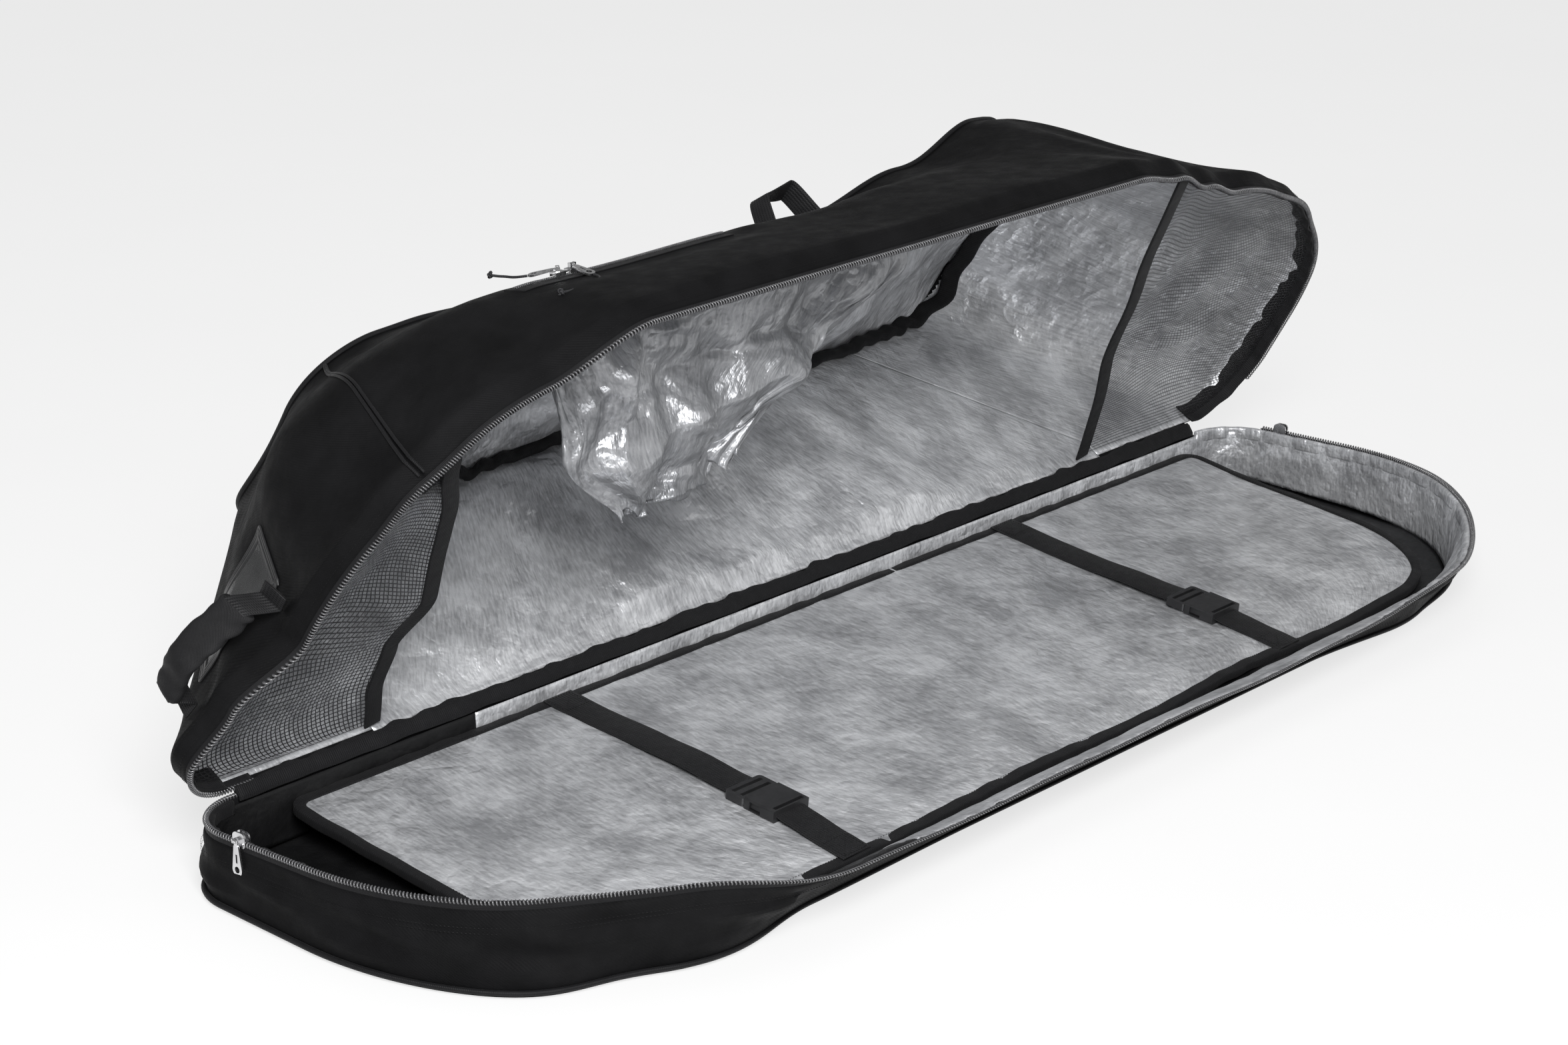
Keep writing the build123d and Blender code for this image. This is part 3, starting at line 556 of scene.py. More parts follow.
def rim_ring(name, surface, run, profile, body, slot, *nodes, spacing=0.006, uneven=(0.0, 0, 0.03)):
    """Closed profile carried round the rim over a run of s. profile holds (inset, height) pairs, and surface turns
    s, height and inset into points; uneven gives an inward wobble's size, its seed and its wavelength."""
    s = rim_steps(*run, spacing)
    closed = run == ALL_ROUND
    wobble, seed, size = uneven
    shift = wobble * waves(rim_length(s)[:, None, None] * np.ones(2), size, seed)
    points = surface(s[:, None], profile[:, 1] + 0.5 * shift, profile[:, 0] + shift)
    piece = grid_piece(name, points[:-1] if closed else points, u=rim_length(s), closed_u=closed, closed_v=True)
    return settle_on(face_outwards(piece), body, slot, *nodes)


wall_lining("tray_wall_lining", SILVER_START, DARK_END[0], "silver_lining", 41, 0.0045)
wall_lining("tray_end_lining", *DARK_END, "floor_cloth", 42, 0.0035)
roll = rounded_profile(0.0026, 0.0085, -0.0185, -0.0035, 0.0028, 4)
rim_ring("tray_rim_roll", tray_rim, (SILVER_START, 3.98), roll, "base", "silver_lining", "base_rim_roll",
         spacing=0.005, uneven=(0.0014, 51, 0.03))
rim_ring("tray_end_roll", tray_rim, (5.02, DARK_END[1]), roll, "base", "binding", "base_rim_roll",
         spacing=0.005, uneven=(0.0010, 52, 0.03))
rim_ring("tray_zip_tape", tray_rim, ZIP_RUN, rounded_profile(0.0002, 0.0026, -0.0125, -0.0030, 0.0004), "base",
         "zip_tape", "base_zip_tape")

# %% [markdown]
# ## Coil zips
# A coil zip is one thread wound into a flat helix and sewn along its tape. It is made as exactly that: a thin tube
# whose centre goes round an ellipse once per tooth while it travels along the rim.

# %% Zip coils
def zip_coil(name, surface, start, end, pitch, inset, height, half_inset, half_height, thread):
    """Tube round a helix: the angle grows with the distance along the zip, and the tube's four sides are offset
    outwards from the ellipse's centre and along the zip, by the thread's radius. surface turns distance, height and
    inset into points."""
    turns = int((end - start) / pitch)
    angle = np.arange(turns * 8 + 1) * math.pi / 4
    travel = start + angle / (2 * math.pi) * pitch
    ring = np.arange(4) * math.pi / 2
    reach = thread * np.cos(ring)
    depth = inset + (half_inset + reach) * np.cos(angle)[:, None]
    level = height + (half_height + reach) * np.sin(angle)[:, None]
    piece = grid_piece(name, surface(travel[:, None] + thread * np.sin(ring), level, depth), u=travel, closed_v=True)
    print(name, "turns", turns)
    return face_outwards(piece)


zip_start, zip_end = rim_length(ZIP_RUN[0]), rim_length(ZIP_RUN[1])
for name, surface, height, body, node in (("tray_zip_coil", tray_rim, -0.0028, "base", "base_zip_coil"),
                                          ("lid_zip_coil", lid_point, 0.0032, "lid", "lid_zip_coil")):
    by_distance = lambda distance, level, inset: surface(np.interp(distance, L_TABLE, S_TABLE), level, inset)
    coil = zip_coil(name, by_distance, zip_start, zip_end, pitch=0.0034, inset=0.0012, height=height,
                    half_inset=0.0021, half_height=0.0020, thread=0.0009)
    settle_on(coil, body, "zip_coil", node)

# %% [markdown]
# ## Welts
# A welt is a thin cord sewn into a seam in a strip of cloth. Each is a round profile carried along the seam.

# %% Floor welt
rim_ring("tray_floor_welt", tray_foot, ALL_ROUND, round_profile(0.0026) + [-0.0022, 0.0052], "base", "piping",
         "base_floor_piping")

# %% [markdown]
# ## Lid: outer cloth
# Four panels make the lid's sides: front, hinge side and two ends, joined in welted seams that cross the rounded
# corners. All are read from the one lid surface, so their edges meet; each gets fine folds of its own, which fade
# out at its seams. Folds also fade where a fitting is sewn on.

# %% Lid sides
LEFT_SEAM, RIGHT_SEAM = -0.5, 1.5
LINING_INSET = 0.0024
SIDES = {"front": (LEFT_SEAM, RIGHT_SEAM), "right": (RIGHT_SEAM, 4.12), "hinge": (4.12, 4.88),
         "left": (4.88, 8.0 + LEFT_SEAM)}
ID_PLACE = [-0.097, 0.102, 0.0]
HANDLE_FEET = ([-0.156, 0.036, 0.0], [-0.038, 0.036, 0.0])
FITTING_REACH, FRAME_REACH = 0.03, 0.075
FITTINGS = [(on_left_side(ID_PLACE), FRAME_REACH)] + [(on_left_side(foot), FITTING_REACH) for foot in HANDLE_FEET]
FITTINGS += [(on_front_side([x, ZIP_UP, 0.0]), FITTING_REACH) for x in np.arange(-0.44, -0.17, 0.02)]


def flat_under_fittings(points):
    """0 where a fitting is sewn on, 1 away from it: folds are scaled by this, so that fittings lie on flat cloth."""
    calm = np.ones(points.shape[:-1])
    for place, radius in FITTINGS:
        calm = np.minimum(calm, smooth(np.linalg.norm(points - on_lid(place), axis=-1) / radius - 0.6))
    return calm


def lid_panel(name, side, nodes, fold, fold_size, seed, lining=False, low=0.0092):
    """One side of the lid, as outer cloth or as lining. Folds push it out, or in for a lining, and fade at its
    edges."""
    inset, thickness, spacing = (LINING_INSET, LINING_CLOTH, 0.005) if lining else (0.0, OUTER_CLOTH, 0.0055)
    s = rim_steps(*SIDES[side], spacing)
    depth = np.linspace(low, GUSSET_TOP, 52)
    flat = coords(rim_length(s)[:, None], depth)
    edge = smooth((s - s[0]) / 0.25) * smooth((s[-1] - s) / 0.25)
    top_fade = 0.055 if lining else 0.02
    fade = edge[:, None] * (smooth((depth - low) / 0.03) * smooth((GUSSET_TOP - depth) / top_fade))
    pattern = 0.55 * (1 - creases(flat, fold_size, seed)) + 0.45 * (0.5 + 0.5 * waves(flat, 1.3 * fold_size, seed + 1))
    shift = fold * pattern * fade * flat_under_fittings(lid_point(s[:, None], depth, inset))
    points = lid_point(s[:, None], depth, inset + (shift if lining else -shift))
    piece = grid_piece(name, points, u=rim_length(s), v=depth * 1.2, flip=lining)
    settle_on(thicken(piece, thickness), "lid", "silver_lining" if lining else "black_cloth", *nodes)


lid_panel("lid_front_cloth", "front", ["lid_front_gusset", "lid_rim_band"],
          fold=0.006, fold_size=0.15, seed=61)
lid_panel("lid_right_end", "right", ["lid_right_gusset"], fold=0.007, fold_size=0.14, seed=62)
lid_panel("lid_hinge_side", "hinge", ["lid_hinge_gusset"], fold=0.005, fold_size=0.15, seed=63)
lid_panel("lid_left_end", "left", ["lid_left_gusset"], fold=0.004, fold_size=0.16, seed=64)

# %% [markdown]
# ## Lid: roof
# The roof is a rounded sheet at full depth. Its middle has sunk with the ridge, and folds run across it.
# Its lining, with foam behind it, is the large silver panel that shows in the open bag, so its creases are finer.

# %% Lid roof
def roof_grid(inset, columns, rows):
    """Grid over the roof's outline, with how far each point lies towards the middle, from 0 to 1."""
    flat = fill_outline(ROOF, inset, columns, rows)
    x, y = flat[..., 0], flat[..., 1]
    middle = smooth((y - ROOF[2]) / 0.09) * smooth((ROOF[3] - y) / 0.10) * smooth((x - ROOF[0]) / 0.12)
    return flat, middle * smooth((ROOF[1] - x) / 0.12)


def roof_piece(name, flat, depth, flip=False):
    """Sheet of the roof at a depth."""
    return grid_piece(name, np.swapaxes(on_lid(at_height(flat, depth)), 0, 1), flip=flip)


flat, middle = roof_grid(0.0, 210, 64)
depth = GUSSET_TOP + 0.0015 + middle * (0.012 + 0.006 * waves(flat, 0.2, 71))
settle_on(thicken(roof_piece("lid_roof", flat, depth), OUTER_CLOTH), "lid", "black_cloth", "lid_roof_panel")
flat, middle = roof_grid(0.0026, 300, 90)
rumple = 0.020 * (1 - creases(flat, 0.16, 72, 4)) + 0.009 * (1 - creases(flat, 0.07, 73, 4))
rumple += 0.005 * waves(flat, 0.18, 74)
depth = GUSSET_TOP - 0.0050 + middle * (0.010 + 0.006 * waves(flat, 0.2, 71)) - (0.25 + 0.75 * middle) * rumple
roof_lining = roof_piece("lid_roof_lining", flat, depth, flip=True)
settle_on(thicken(roof_lining, LINING_CLOTH), "lid", "silver_lining", "lid_roof_lining", "lid_roof_foam")
outline_area(ROOF)

# %% [markdown]
# ## Lid: lining
# The same four sides again, a little inside the outer cloth, in silver. The hinge side's folds are the deepest,
# because its lining hangs loose below the roof.

# %% Lid lining
for side, fold, size, seed, low in (("right", 0.007, 0.10, 81, 0.0092), ("hinge", 0.022, 0.13, 82, 0.0060),
                                    ("left", 0.006, 0.09, 83, 0.0092), ("front", 0.008, 0.10, 84, 0.0092)):
    lid_panel(f"lid_lining_{side}", side, ["lid_gusset_lining"], fold, size, seed, lining=True, low=low)

# %% [markdown]
# ## Lid: rim tape, binding and welts
# Inside the zip runs a ribbed binding 27 mm wide. The roof's seam and the two corner seams are welted outside,
# and the roof's seam is bound in black inside.

# %% Lid rim and seams
rim_ring("lid_zip_tape", lid_point, ZIP_RUN, rounded_profile(0.0004, 0.0026, 0.0032, 0.0125, 0.0004), "lid",
         "zip_tape", "lid_zip_tape")
rim_ring("lid_rim_binding", lid_point, (-2.98, 3.98), rounded_profile(0.0032, 0.0056, 0.0030, 0.0300, 0.0010), "lid",
         "binding", "lid_rim_binding", uneven=(0.0012, 91, 0.05))
rim_ring("lid_roof_welt", lid_point, ALL_ROUND, round_profile(0.0030) + [0.0022, GUSSET_TOP + 0.0030], "lid", "piping",
         "lid_roof_piping")
for side, seam_s in (("left", LEFT_SEAM), ("right", RIGHT_SEAM)):
    depth = np.linspace(0.012, GUSSET_TOP, 60)
    for index, shift in enumerate((-0.0032, 0.0032)):
        place = np.interp(rim_length(seam_s) + shift, L_TABLE, S_TABLE)
        path = lid_point(place, depth, -0.0012)
        out = unit(path - lid_point(place, depth, 0.004))
        seam = along_path(path, out, round_profile(0.0015), f"lid_seam_welt_{side}_{index}")
        settle_on(seam, "lid", "piping", *([f"lid_seam_piping_{side}"] if index == 0 else []))
rim_ring("lid_roof_seam_binding", lid_point, ALL_ROUND, rounded_profile(0.0040, 0.0150, 0.2230, 0.2345, 0.0040), "lid",
         "binding", uneven=(0.0022, 92, 0.06))

# %% [markdown]
# ## Hinge
# Tray and lid are joined along the back by one strip of cloth that bends. It follows the tray at one edge and the
# lid at the other, and turns smoothly between them.

# %% Hinge cloth
def hinge_piece(name, thickness, slot, node, inset, wobble, seed, reach, flip=False):
    """Strip in lines along the hinge, from the tray's wall, over the hinge line, to the lid's wall, at an inset."""
    s = rim_steps(4.004, 4.996, 0.006)
    along = rim_length(s)[:, None] * np.ones(2)
    low = tray_rim(s, -reach, inset * 1.35)
    seat = tray_rim(s, -0.003, inset * 1.2)
    rise = lid_point(s, 0.003, inset)
    high = lid_point(s, reach + 0.8 * wobble * waves(along, 0.06, seed + 1), inset)
    share = np.linspace(0, 1, 5)
    lines = [low * (1 - t) + seat * t for t in share] + [(seat + rise) / 2] + [rise * (1 - t) + high * t for t in share]
    points = np.stack(lines, axis=1)
    points[..., 1] -= wobble * (0.5 + 0.5 * waves(along, 0.07, seed))[:, None]
    piece = thicken(grid_piece(name, points, u=rim_length(s), flip=flip), thickness)
    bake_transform(piece)
    settle_on(piece, None, slot, node)


hinge_piece("hinge_cloth", 0.0014, "black_cloth", "hinge_strip", inset=0.0002, wobble=0.0, seed=1, reach=0.016)
hinge_piece("hinge_binding", 0.0020, "binding", "hinge_binding", inset=0.0038, wobble=0.003, seed=2, reach=0.0070,
            flip=True)

# %% [markdown]
# ## Mesh pockets
# A net is stretched across each end of the lid, just inside its mouth, from the rim to a bound edge that slants
# across the bag. The net sags a little. It is a grid between that edge and the rim, closed by the rim's own curve.

# %% Mesh pockets
NET_DEPTH, NET_INSET = 0.0137, 0.0056


def net_piece(side, front, back, sign, seed):
    """Grid from a slanting edge to the mouth's outline: each row runs along x, from the edge to the outline, and
    sags into the lid by an amount that is greatest in its middle."""
    ends = fill_outline(MOUTH, NET_INSET, 2, 140)
    y, end_x = ends[:, 0, 1], ends[:, 0 if sign < 0 else 1, 0]
    edge_x = front + (back - front) * (y + HALF_WIDTH) / (2 * HALF_WIDTH)
    keep = (end_x - edge_x) * sign > 0.004
    y, end_x, edge_x = y[keep], end_x[keep], edge_x[keep]
    reach = np.abs(end_x - edge_x)
    u = np.linspace(0, 1, 90)
    v = (y - y[0]) / (y[-1] - y[0])
    flat = coords(edge_x[:, None] * (1 - u) + end_x[:, None] * u, y[:, None])
    belly = np.sin(math.pi * np.clip(v, 0, 1))[:, None] * np.sin(math.pi * np.clip(0.08 + 0.92 * u, 0, 1))
    sag = belly * (0.016 + 0.010 * waves(flat, 0.16, seed) + 0.008 * (1 - creases(flat, 0.11, seed + 1)))
    points = at_height(flat, NET_DEPTH + sag)
    net = grid_piece(f"net_{side}", on_lid(points), u=y, v=u * reach.max(), flip=sign > 0)
    settle_on(net, "lid", "mesh", f"mesh_pocket_{side}")
    edge_line = points[:, 0] - [0, 0, 0.001]
    up = unit(open_lid(edge_line + [0, 0, -0.01]) - open_lid(edge_line))
    bound = along_path(on_lid(edge_line), up, rounded_profile(-0.009, 0.009, -0.0012, 0.0016, 0.001),
                       f"net_binding_{side}")
    settle_on(bound, "lid", "binding", f"mesh_pocket_{side}_binding")
    round(float(abs(np.trapz(reach, y))), 4)


net_piece("left", front=-0.675, back=-0.545, sign=-1, seed=101)
net_piece("right", front=0.385, back=0.520, sign=1, seed=103)

# %% [markdown]
# ## Pocket pouch
# The outer pocket's bag hangs into the lid from the zip: a flat bag of silver cloth, gathered at its seam and
# crumpled. It is a closed form whose two faces are pushed apart and folded by creases, more so lower down.

# %% Pocket pouch
POUCH_X = -0.160
POUCH_WIDTH, POUCH_DEPTH = 0.525, 0.235


def rounder(values, power):
    """Values from -1 to 1 raised to a power, with their sign kept: it squares off a circle."""
    return np.sign(values) * np.abs(values) ** power


def pouch_points(columns=300, rows=120):
    """Closed loop of columns round the bag, and rows from its seam down to its bottom edge. The loop is a flattened
    ellipse whose width follows the bag's outline, and the creases push each face in or out."""
    v = np.linspace(0, 1, rows)[None, :]
    angle = np.linspace(0, 2 * math.pi, columns, endpoint=False)[:, None]
    left = eased(v, [(0.0, -0.225), (0.25, -0.250), (0.7, -0.235), (1.0, -0.170)])
    right = eased(v, [(0.0, 0.300), (0.3, 0.235), (0.7, 0.120), (1.0, -0.010)])
    x = (left + right) / 2 + (right - left) / 2 * rounder(np.cos(angle), 0.9)
    across = eased(v, [(0.0, 0.003), (0.25, 0.016), (0.7, 0.024), (1.0, 0.004)]) * rounder(np.sin(angle), 0.8)
    drop = POUCH_DEPTH * v * (1.0 - 0.34 * smooth((x + 0.10) / 0.24) * v)
    flat = coords(x, drop, 0.25 * np.sin(angle))
    folds = (0.058 * (creases(flat, 0.14, 201, 3, 0.2) - 0.5) + 0.030 * (creases(flat, 0.07, 203, 3, 0.2) - 0.5)
             + 0.008 * (creases(flat, 0.028, 207, 3) - 0.5))
    amount = smooth(v / 0.15)
    across = across + amount * np.sin(angle) * folds
    x = x + 0.004 * waves(flat, 0.10, 205) * amount
    drop = drop + 0.006 * waves(flat, 0.12, 206) * amount
    return on_lid(on_front_side(coords(POUCH_X + x, ZIP_UP + across, -0.0030 - drop)))


pouch = grid_piece("pocket_pouch", pouch_points(), closed_u=True)
settle_on(thicken(pouch, THIN_CLOTH), "lid", "silver_lining", "pocket_pouch")

# %% [markdown]
# ## Divider mat
# The mat is a thin foam pad in silver cloth, bound in black round its edge and sewn along its hinge-side edge. It
# hangs between that edge and the floor, so it dips a little, and its cloth is creased. The straps lie over it.

# %% Divider mat
MAT_PIVOT_Y, MAT_PIVOT_Z = 0.2278, 0.046
MAT_TURN = math.atan2(0.030, 0.2268 - 0.0008 + 0.157)
MAT = (-0.665, 0.705, -0.157, 0.2258, 0.150, 0.020)


def lay_mat(points):
    """Mat coordinates, flat with z = 0 on its top, turned down about its sewn edge."""
    c, s = math.cos(MAT_TURN), math.sin(MAT_TURN)
    x, y, z = points[..., 0], points[..., 1] - MAT_PIVOT_Y, points[..., 2]
    return coords(x, MAT_PIVOT_Y + y * c - z * s, MAT_PIVOT_Z + y * s + z * c)


def mat_sag(flat):
    """How far the mat's top lies under its plane: a slow dip, deeper away from the sewn edge."""
    return smooth((MAT[3] - flat[..., 1]) / 0.12) * (0.0035 + 0.0028 * waves(flat, 0.30, 301))


def on_mat(flat, height):
    """Points at a height above the sagging mat."""
    return lay_mat(at_height(flat, height - mat_sag(flat)))


def mat_inset(flat):
    """How far a point lies inside the mat's outline, with the front corners' circles taken into account."""
    left, right, front, back, radius = MAT[:5]
    x, y = flat[..., 0], flat[..., 1]
    to_side, to_front = np.minimum(x - left, right - x), y - front
    to_edge = np.minimum(to_side, np.minimum(to_front, back - y))
    to_circle = radius - np.hypot(radius - to_side, radius - to_front)
    return np.where((to_side < radius) & (to_front < radius), to_circle, to_edge)


MAT_UP = lay_mat(np.array([0.0, 0.0, 1.0])) - lay_mat(np.zeros(3))
flat = fill_outline(MAT, 0.0, 330, 96)
inside = smooth((mat_inset(flat) - 0.006) / 0.035)
rumple = inside * (0.0030 * (1 - creases(flat, 0.12, 302)) + 0.0016 * (1 - creases(flat, 0.045, 303)))
divider = grid_piece("divider_mat", np.swapaxes(on_mat(flat, rumple), 0, 1))
settle_on(thicken(divider, 0.0058), "mat", "silver_lining", "divider_mat")
flat, inward = outline(np.linspace(0, 8, 901)[:-1], *MAT)
profile = rounded_profile(-0.0016, 0.0100, -0.0078, 0.0012, 0.0016)
z = (0.0007 * waves(flat, 0.05, 305) - mat_sag(flat))[:, None] + profile[:, 1]
ring = lay_mat(at_height(flat[:, None] + profile[:, :1] * inward[:, None], z))
mat_binding = face_outwards(grid_piece("mat_binding", ring, closed_u=True, closed_v=True))
settle_on(mat_binding, "mat", "binding", "mat_binding")

# %% [markdown]
# ## Straps
# Each strap is flat woven webbing: a thin rounded profile carried along the strap's middle line, which lies on the
# mat and rises to pass the buckle's slots. Its long half is sewn to the mat behind and holds the buckle's plug.

# %% Straps
STRAPS = {"left": -0.330, "right": 0.350}
SHORT_HALF = [(-0.1555, 0.0020), (-0.130, 0.0034), (-0.088, 0.0060), (-0.071, 0.0068)]
LONG_HALF = [(-0.0205, 0.0064), (-0.006, 0.0064), (0.04, 0.0080), (0.10, 0.0052), (0.19, 0.0030), (0.2245, 0.0030)]
BUCKLE_Y = -0.039
WEBBING = rounded_profile(-0.019, 0.019, -0.0007, 0.0009, 0.0007)


def strap_piece(name, x, stations):
    """Webbing along (y, height above the mat) stations, eased between, with the mat's own sag."""
    start = stations[0][0]
    y = np.linspace(start, stations[-1][0], 70)
    flat = coords(x + 0.0012 * np.sin((y - start) * 22 + x * 9), y)
    away_from_buckle = 1 - np.exp(-((y - BUCKLE_Y) / 0.05) ** 2)
    path = lay_mat(at_height(flat, eased(y, stations) - mat_sag(flat) * away_from_buckle))
    return along_path(path, MAT_UP, WEBBING, name)


for side, x in STRAPS.items():
    name = f"strap_{side}_short"
    settle_on(strap_piece(name, x, SHORT_HALF), "mat", "webbing", name)
    name = f"strap_{side}_long"
    long_piece = strap_piece(name, x, LONG_HALF)
    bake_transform(long_piece)
    settle_on(long_piece, None, "webbing", name)

# %% [markdown]
# ## Handles
# The end handle is a webbing loop through a padded sleeve; the carry handle is a plain loop on the roof. Both are
# webbing carried along an arch.

# %% Handles
WEB = rounded_profile(-0.0125, 0.0125, -0.0010, 0.0012, 0.0009)


def handle_frame(place, lean):
    """Turns handle coordinates (along, across, up) by lean about its feet, lifts it by as much as its webbing's
    lower edge needs, then puts it on the closed lid."""
    c, s = math.cos(lean), math.sin(lean)
    lift = [0.0, 0.0, 0.0003 + math.sin(lean) * 0.0125]
    turned = lambda p: coords(p[..., 0], p[..., 1] * c - p[..., 2] * s, p[..., 1] * s + p[..., 2] * c)
    return lambda p: on_lid(place(turned(p) + lift))


def handle_loop(name, body, place, span, top, rise, twist, blend_at):
    """Webbing along an arch with level feet, sloping legs and a level top, with a little twist so that it isn't
    machined-straight."""
    foot = 0.016
    x = np.linspace(-span / 2, span / 2, 90)
    height = 0.0012 + (rise - 0.0012) * smooth((span / 2 - foot - np.abs(x)) / (span / 2 - foot - top / 2))
    step = unit(np.gradient(coords(x, height), axis=0))
    across = WEB[:, 0]
    tilt = twist * np.sin(np.linspace(0, 2 * math.pi, len(x)))[:, None]
    offset = WEB[:, 1] + across * tilt
    points = coords(x[:, None] - offset * step[:, 1:], across, height[:, None] + offset * step[:, :1])
    piece = face_outwards(grid_piece(name, place(points), closed_v=True))
    tuple(place(np.array([0.0, 0.0, 0.002])))
    tuple(place(np.array([0.0, 0.0, blend_at])))
    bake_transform(piece)
    settle_on(piece, None, "webbing", body)


SLEEVE_HALF, SLEEVE_RISE = 0.047, 0.030
end_frame = handle_frame(lambda p: on_left_side(p + [-0.097, 0.036, 0.0]), math.radians(30.0))
carry_frame = handle_frame(lambda p: p + [0.095, -0.071, 0.245], math.radians(20.0))
handle_loop("end_handle_webbing", "end_handle", end_frame, span=0.134, top=0.092, rise=SLEEVE_RISE, twist=0.0,
            blend_at=0.018)
x = np.linspace(-SLEEVE_HALF, SLEEVE_HALF, 80)[:, None]
around = np.linspace(0, 2 * math.pi, 40, endpoint=False)
cut = np.clip((SLEEVE_HALF - np.abs(x)) / 0.004, 0, 1) ** 0.5
wrinkle = 1 + 0.06 * waves(coords(x * 5, np.cos(around) * 0.02, np.sin(around) * 0.02), 0.05, 401)
round_y = 0.0168 * rounder(np.cos(around), 0.8) * (0.86 + 0.14 * cut) * wrinkle
round_z = 0.0064 * rounder(np.sin(around), 0.8) * (0.70 + 0.30 * cut) * wrinkle
sleeve_points = end_frame(coords(x, round_y, SLEEVE_RISE + round_z - 1.6 * x**2))
end_sleeve = face_outwards(grid_piece("end_handle_sleeve", sleeve_points, closed_v=True))
settle_on(end_sleeve, "end_handle", "handle_cloth", "end_handle")
handle_loop("carry_handle_webbing", "carry_handle", carry_frame, span=0.110, top=0.040, rise=0.048, twist=0.25,
            blend_at=0.024)

# %% [markdown]
# ## Address window
# A vinyl frame with pressed lines holds a clear window over a plain card. The frame is a profile with ridges carried
# round a rounded rectangle; the window is a thin sheet that bulges a little; the card can slide out sideways.

# %% Address window
def on_id(points):
    """Points about the address window's middle, put on the lid's left side."""
    return on_lid(on_left_side(points + ID_PLACE))


flat, inward = outline(np.linspace(0, 8, 241)[:-1], -0.059, 0.059, -0.042, 0.042, 0.006, 0.006)
ridges = np.array([(0.0, 0.0), (0.0, 0.0010), (0.0008, 0.0014), (0.0022, 0.0014), (0.0030, 0.0009), (0.0038, 0.0014),
                   (0.0058, 0.0014), (0.0066, 0.0009), (0.0074, 0.0014), (0.0106, 0.0015), (0.0120, 0.0011),
                   (0.0120, 0.0)])
frame_points = at_height(flat[:, None] + ridges[:, :1] * inward[:, None], ridges[:, 1] + 0.0002)
id_frame = face_outwards(grid_piece("id_frame", on_id(frame_points), closed_u=True, closed_v=True))
settle_on(id_frame, "lid", "id_vinyl", "id_frame")
for name, half_x, half_y, height, bulge, body, slot in (
        ("id_window", 0.0475, 0.0305, 0.0012, 0.0010, "lid", "id_clear"),
        ("id_card", 0.0460, 0.0290, 0.00075, 0.0, "id_card", "card")):
    gx, gy = np.meshgrid(np.linspace(-1, 1, 40), np.linspace(-1, 1, 28), indexing="ij")
    points = coords(gx * half_x, gy * half_y, height + bulge * (1 - gx**2) * (1 - gy**2))
    settle_on(thicken(grid_piece(name, on_id(points)), 0.0004), body, slot, name)

# %% [markdown]
# ## Outer pocket's zip
# The zip lies closed on the lid's front side: a woven tape and two coils side by side, whose loops mesh in the middle.

# %% Pocket zip
ZIP_X = (-0.445, -0.175)


def pocket_place(distance, height, across):
    """Point on the lid's front side, by distance along the zip, height above the cloth and distance across."""
    return on_lid(on_front_side(coords(distance, ZIP_UP + across, height)))


profile = rounded_profile(-0.0130, 0.0130, 0.0001, 0.0011, 0.0004)
points = pocket_place(np.linspace(*ZIP_X, 90)[:, None], profile[:, 1], profile[:, 0])
pocket_tape = face_outwards(grid_piece("pocket_zip_tape", points, closed_v=True))
settle_on(pocket_tape, "lid", "zip_tape", "pocket_zip_tape")
for index, across in enumerate((-0.0013, 0.0013)):
    coil = zip_coil(f"pocket_zip_coil_{index}", pocket_place, ZIP_X[0] + 0.0007 * index, ZIP_X[1],
                    pitch=0.0022, inset=across, height=0.0021, half_inset=0.0012, half_height=0.0009, thread=0.00045)
    settle_on(coil, "lid", "zip_coil", "pocket_zip_coil")

# %% [markdown]
# ## Stitching
# Seams are held by rows of stitches. One stitch is a tiny stretched octahedron, six corners and eight faces, copied
# along a line of points with the line's own direction and the cloth's normal.

# %% Stitches
STITCH_PITCH, STITCH_LENGTH, STITCH_RADIUS, STITCH_LIFT = 0.0036, 0.0025, 0.0004, 0.0002


def stitch_row(name, path, normal, body):
    """Row of stitches at even distances along a path: each has two tips along it, two sides across it, a top and a
    foot along the normal."""
    travel = np.r_[0, np.cumsum(np.linalg.norm(np.diff(path, axis=0), axis=1))]
    place = np.arange(STITCH_PITCH / 2, travel[-1], STITCH_PITCH)
    at = lambda values: coords(*(np.interp(place, travel, values[:, k]) for k in range(3)))
    along, out = unit(at(np.gradient(path, axis=0))), unit(at(np.broadcast_to(normal, path.shape)))
    centre = at(path) + STITCH_LIFT * out
    tip, side, top = along * STITCH_LENGTH / 2, np.cross(along, out) * STITCH_RADIUS, out * STITCH_RADIUS
    corners = np.stack([centre + tip, centre - tip, centre + side, centre - side, centre + top, centre - top], axis=1)
    pattern = np.array([(0, 2, 4), (2, 1, 4), (1, 3, 4), (3, 0, 4), (2, 0, 5), (1, 2, 5), (3, 1, 5), (0, 3, 5)])
    faces = (pattern[None] + 6 * np.arange(len(place))[:, None, None]).reshape(-1, 3)
    mesh = bpy.data.meshes.new(name)
    mesh.from_pydata(corners.reshape(-1, 3).tolist(), [], faces.tolist())
    settle_on(face_outwards(link(name, mesh)), body, "piping")


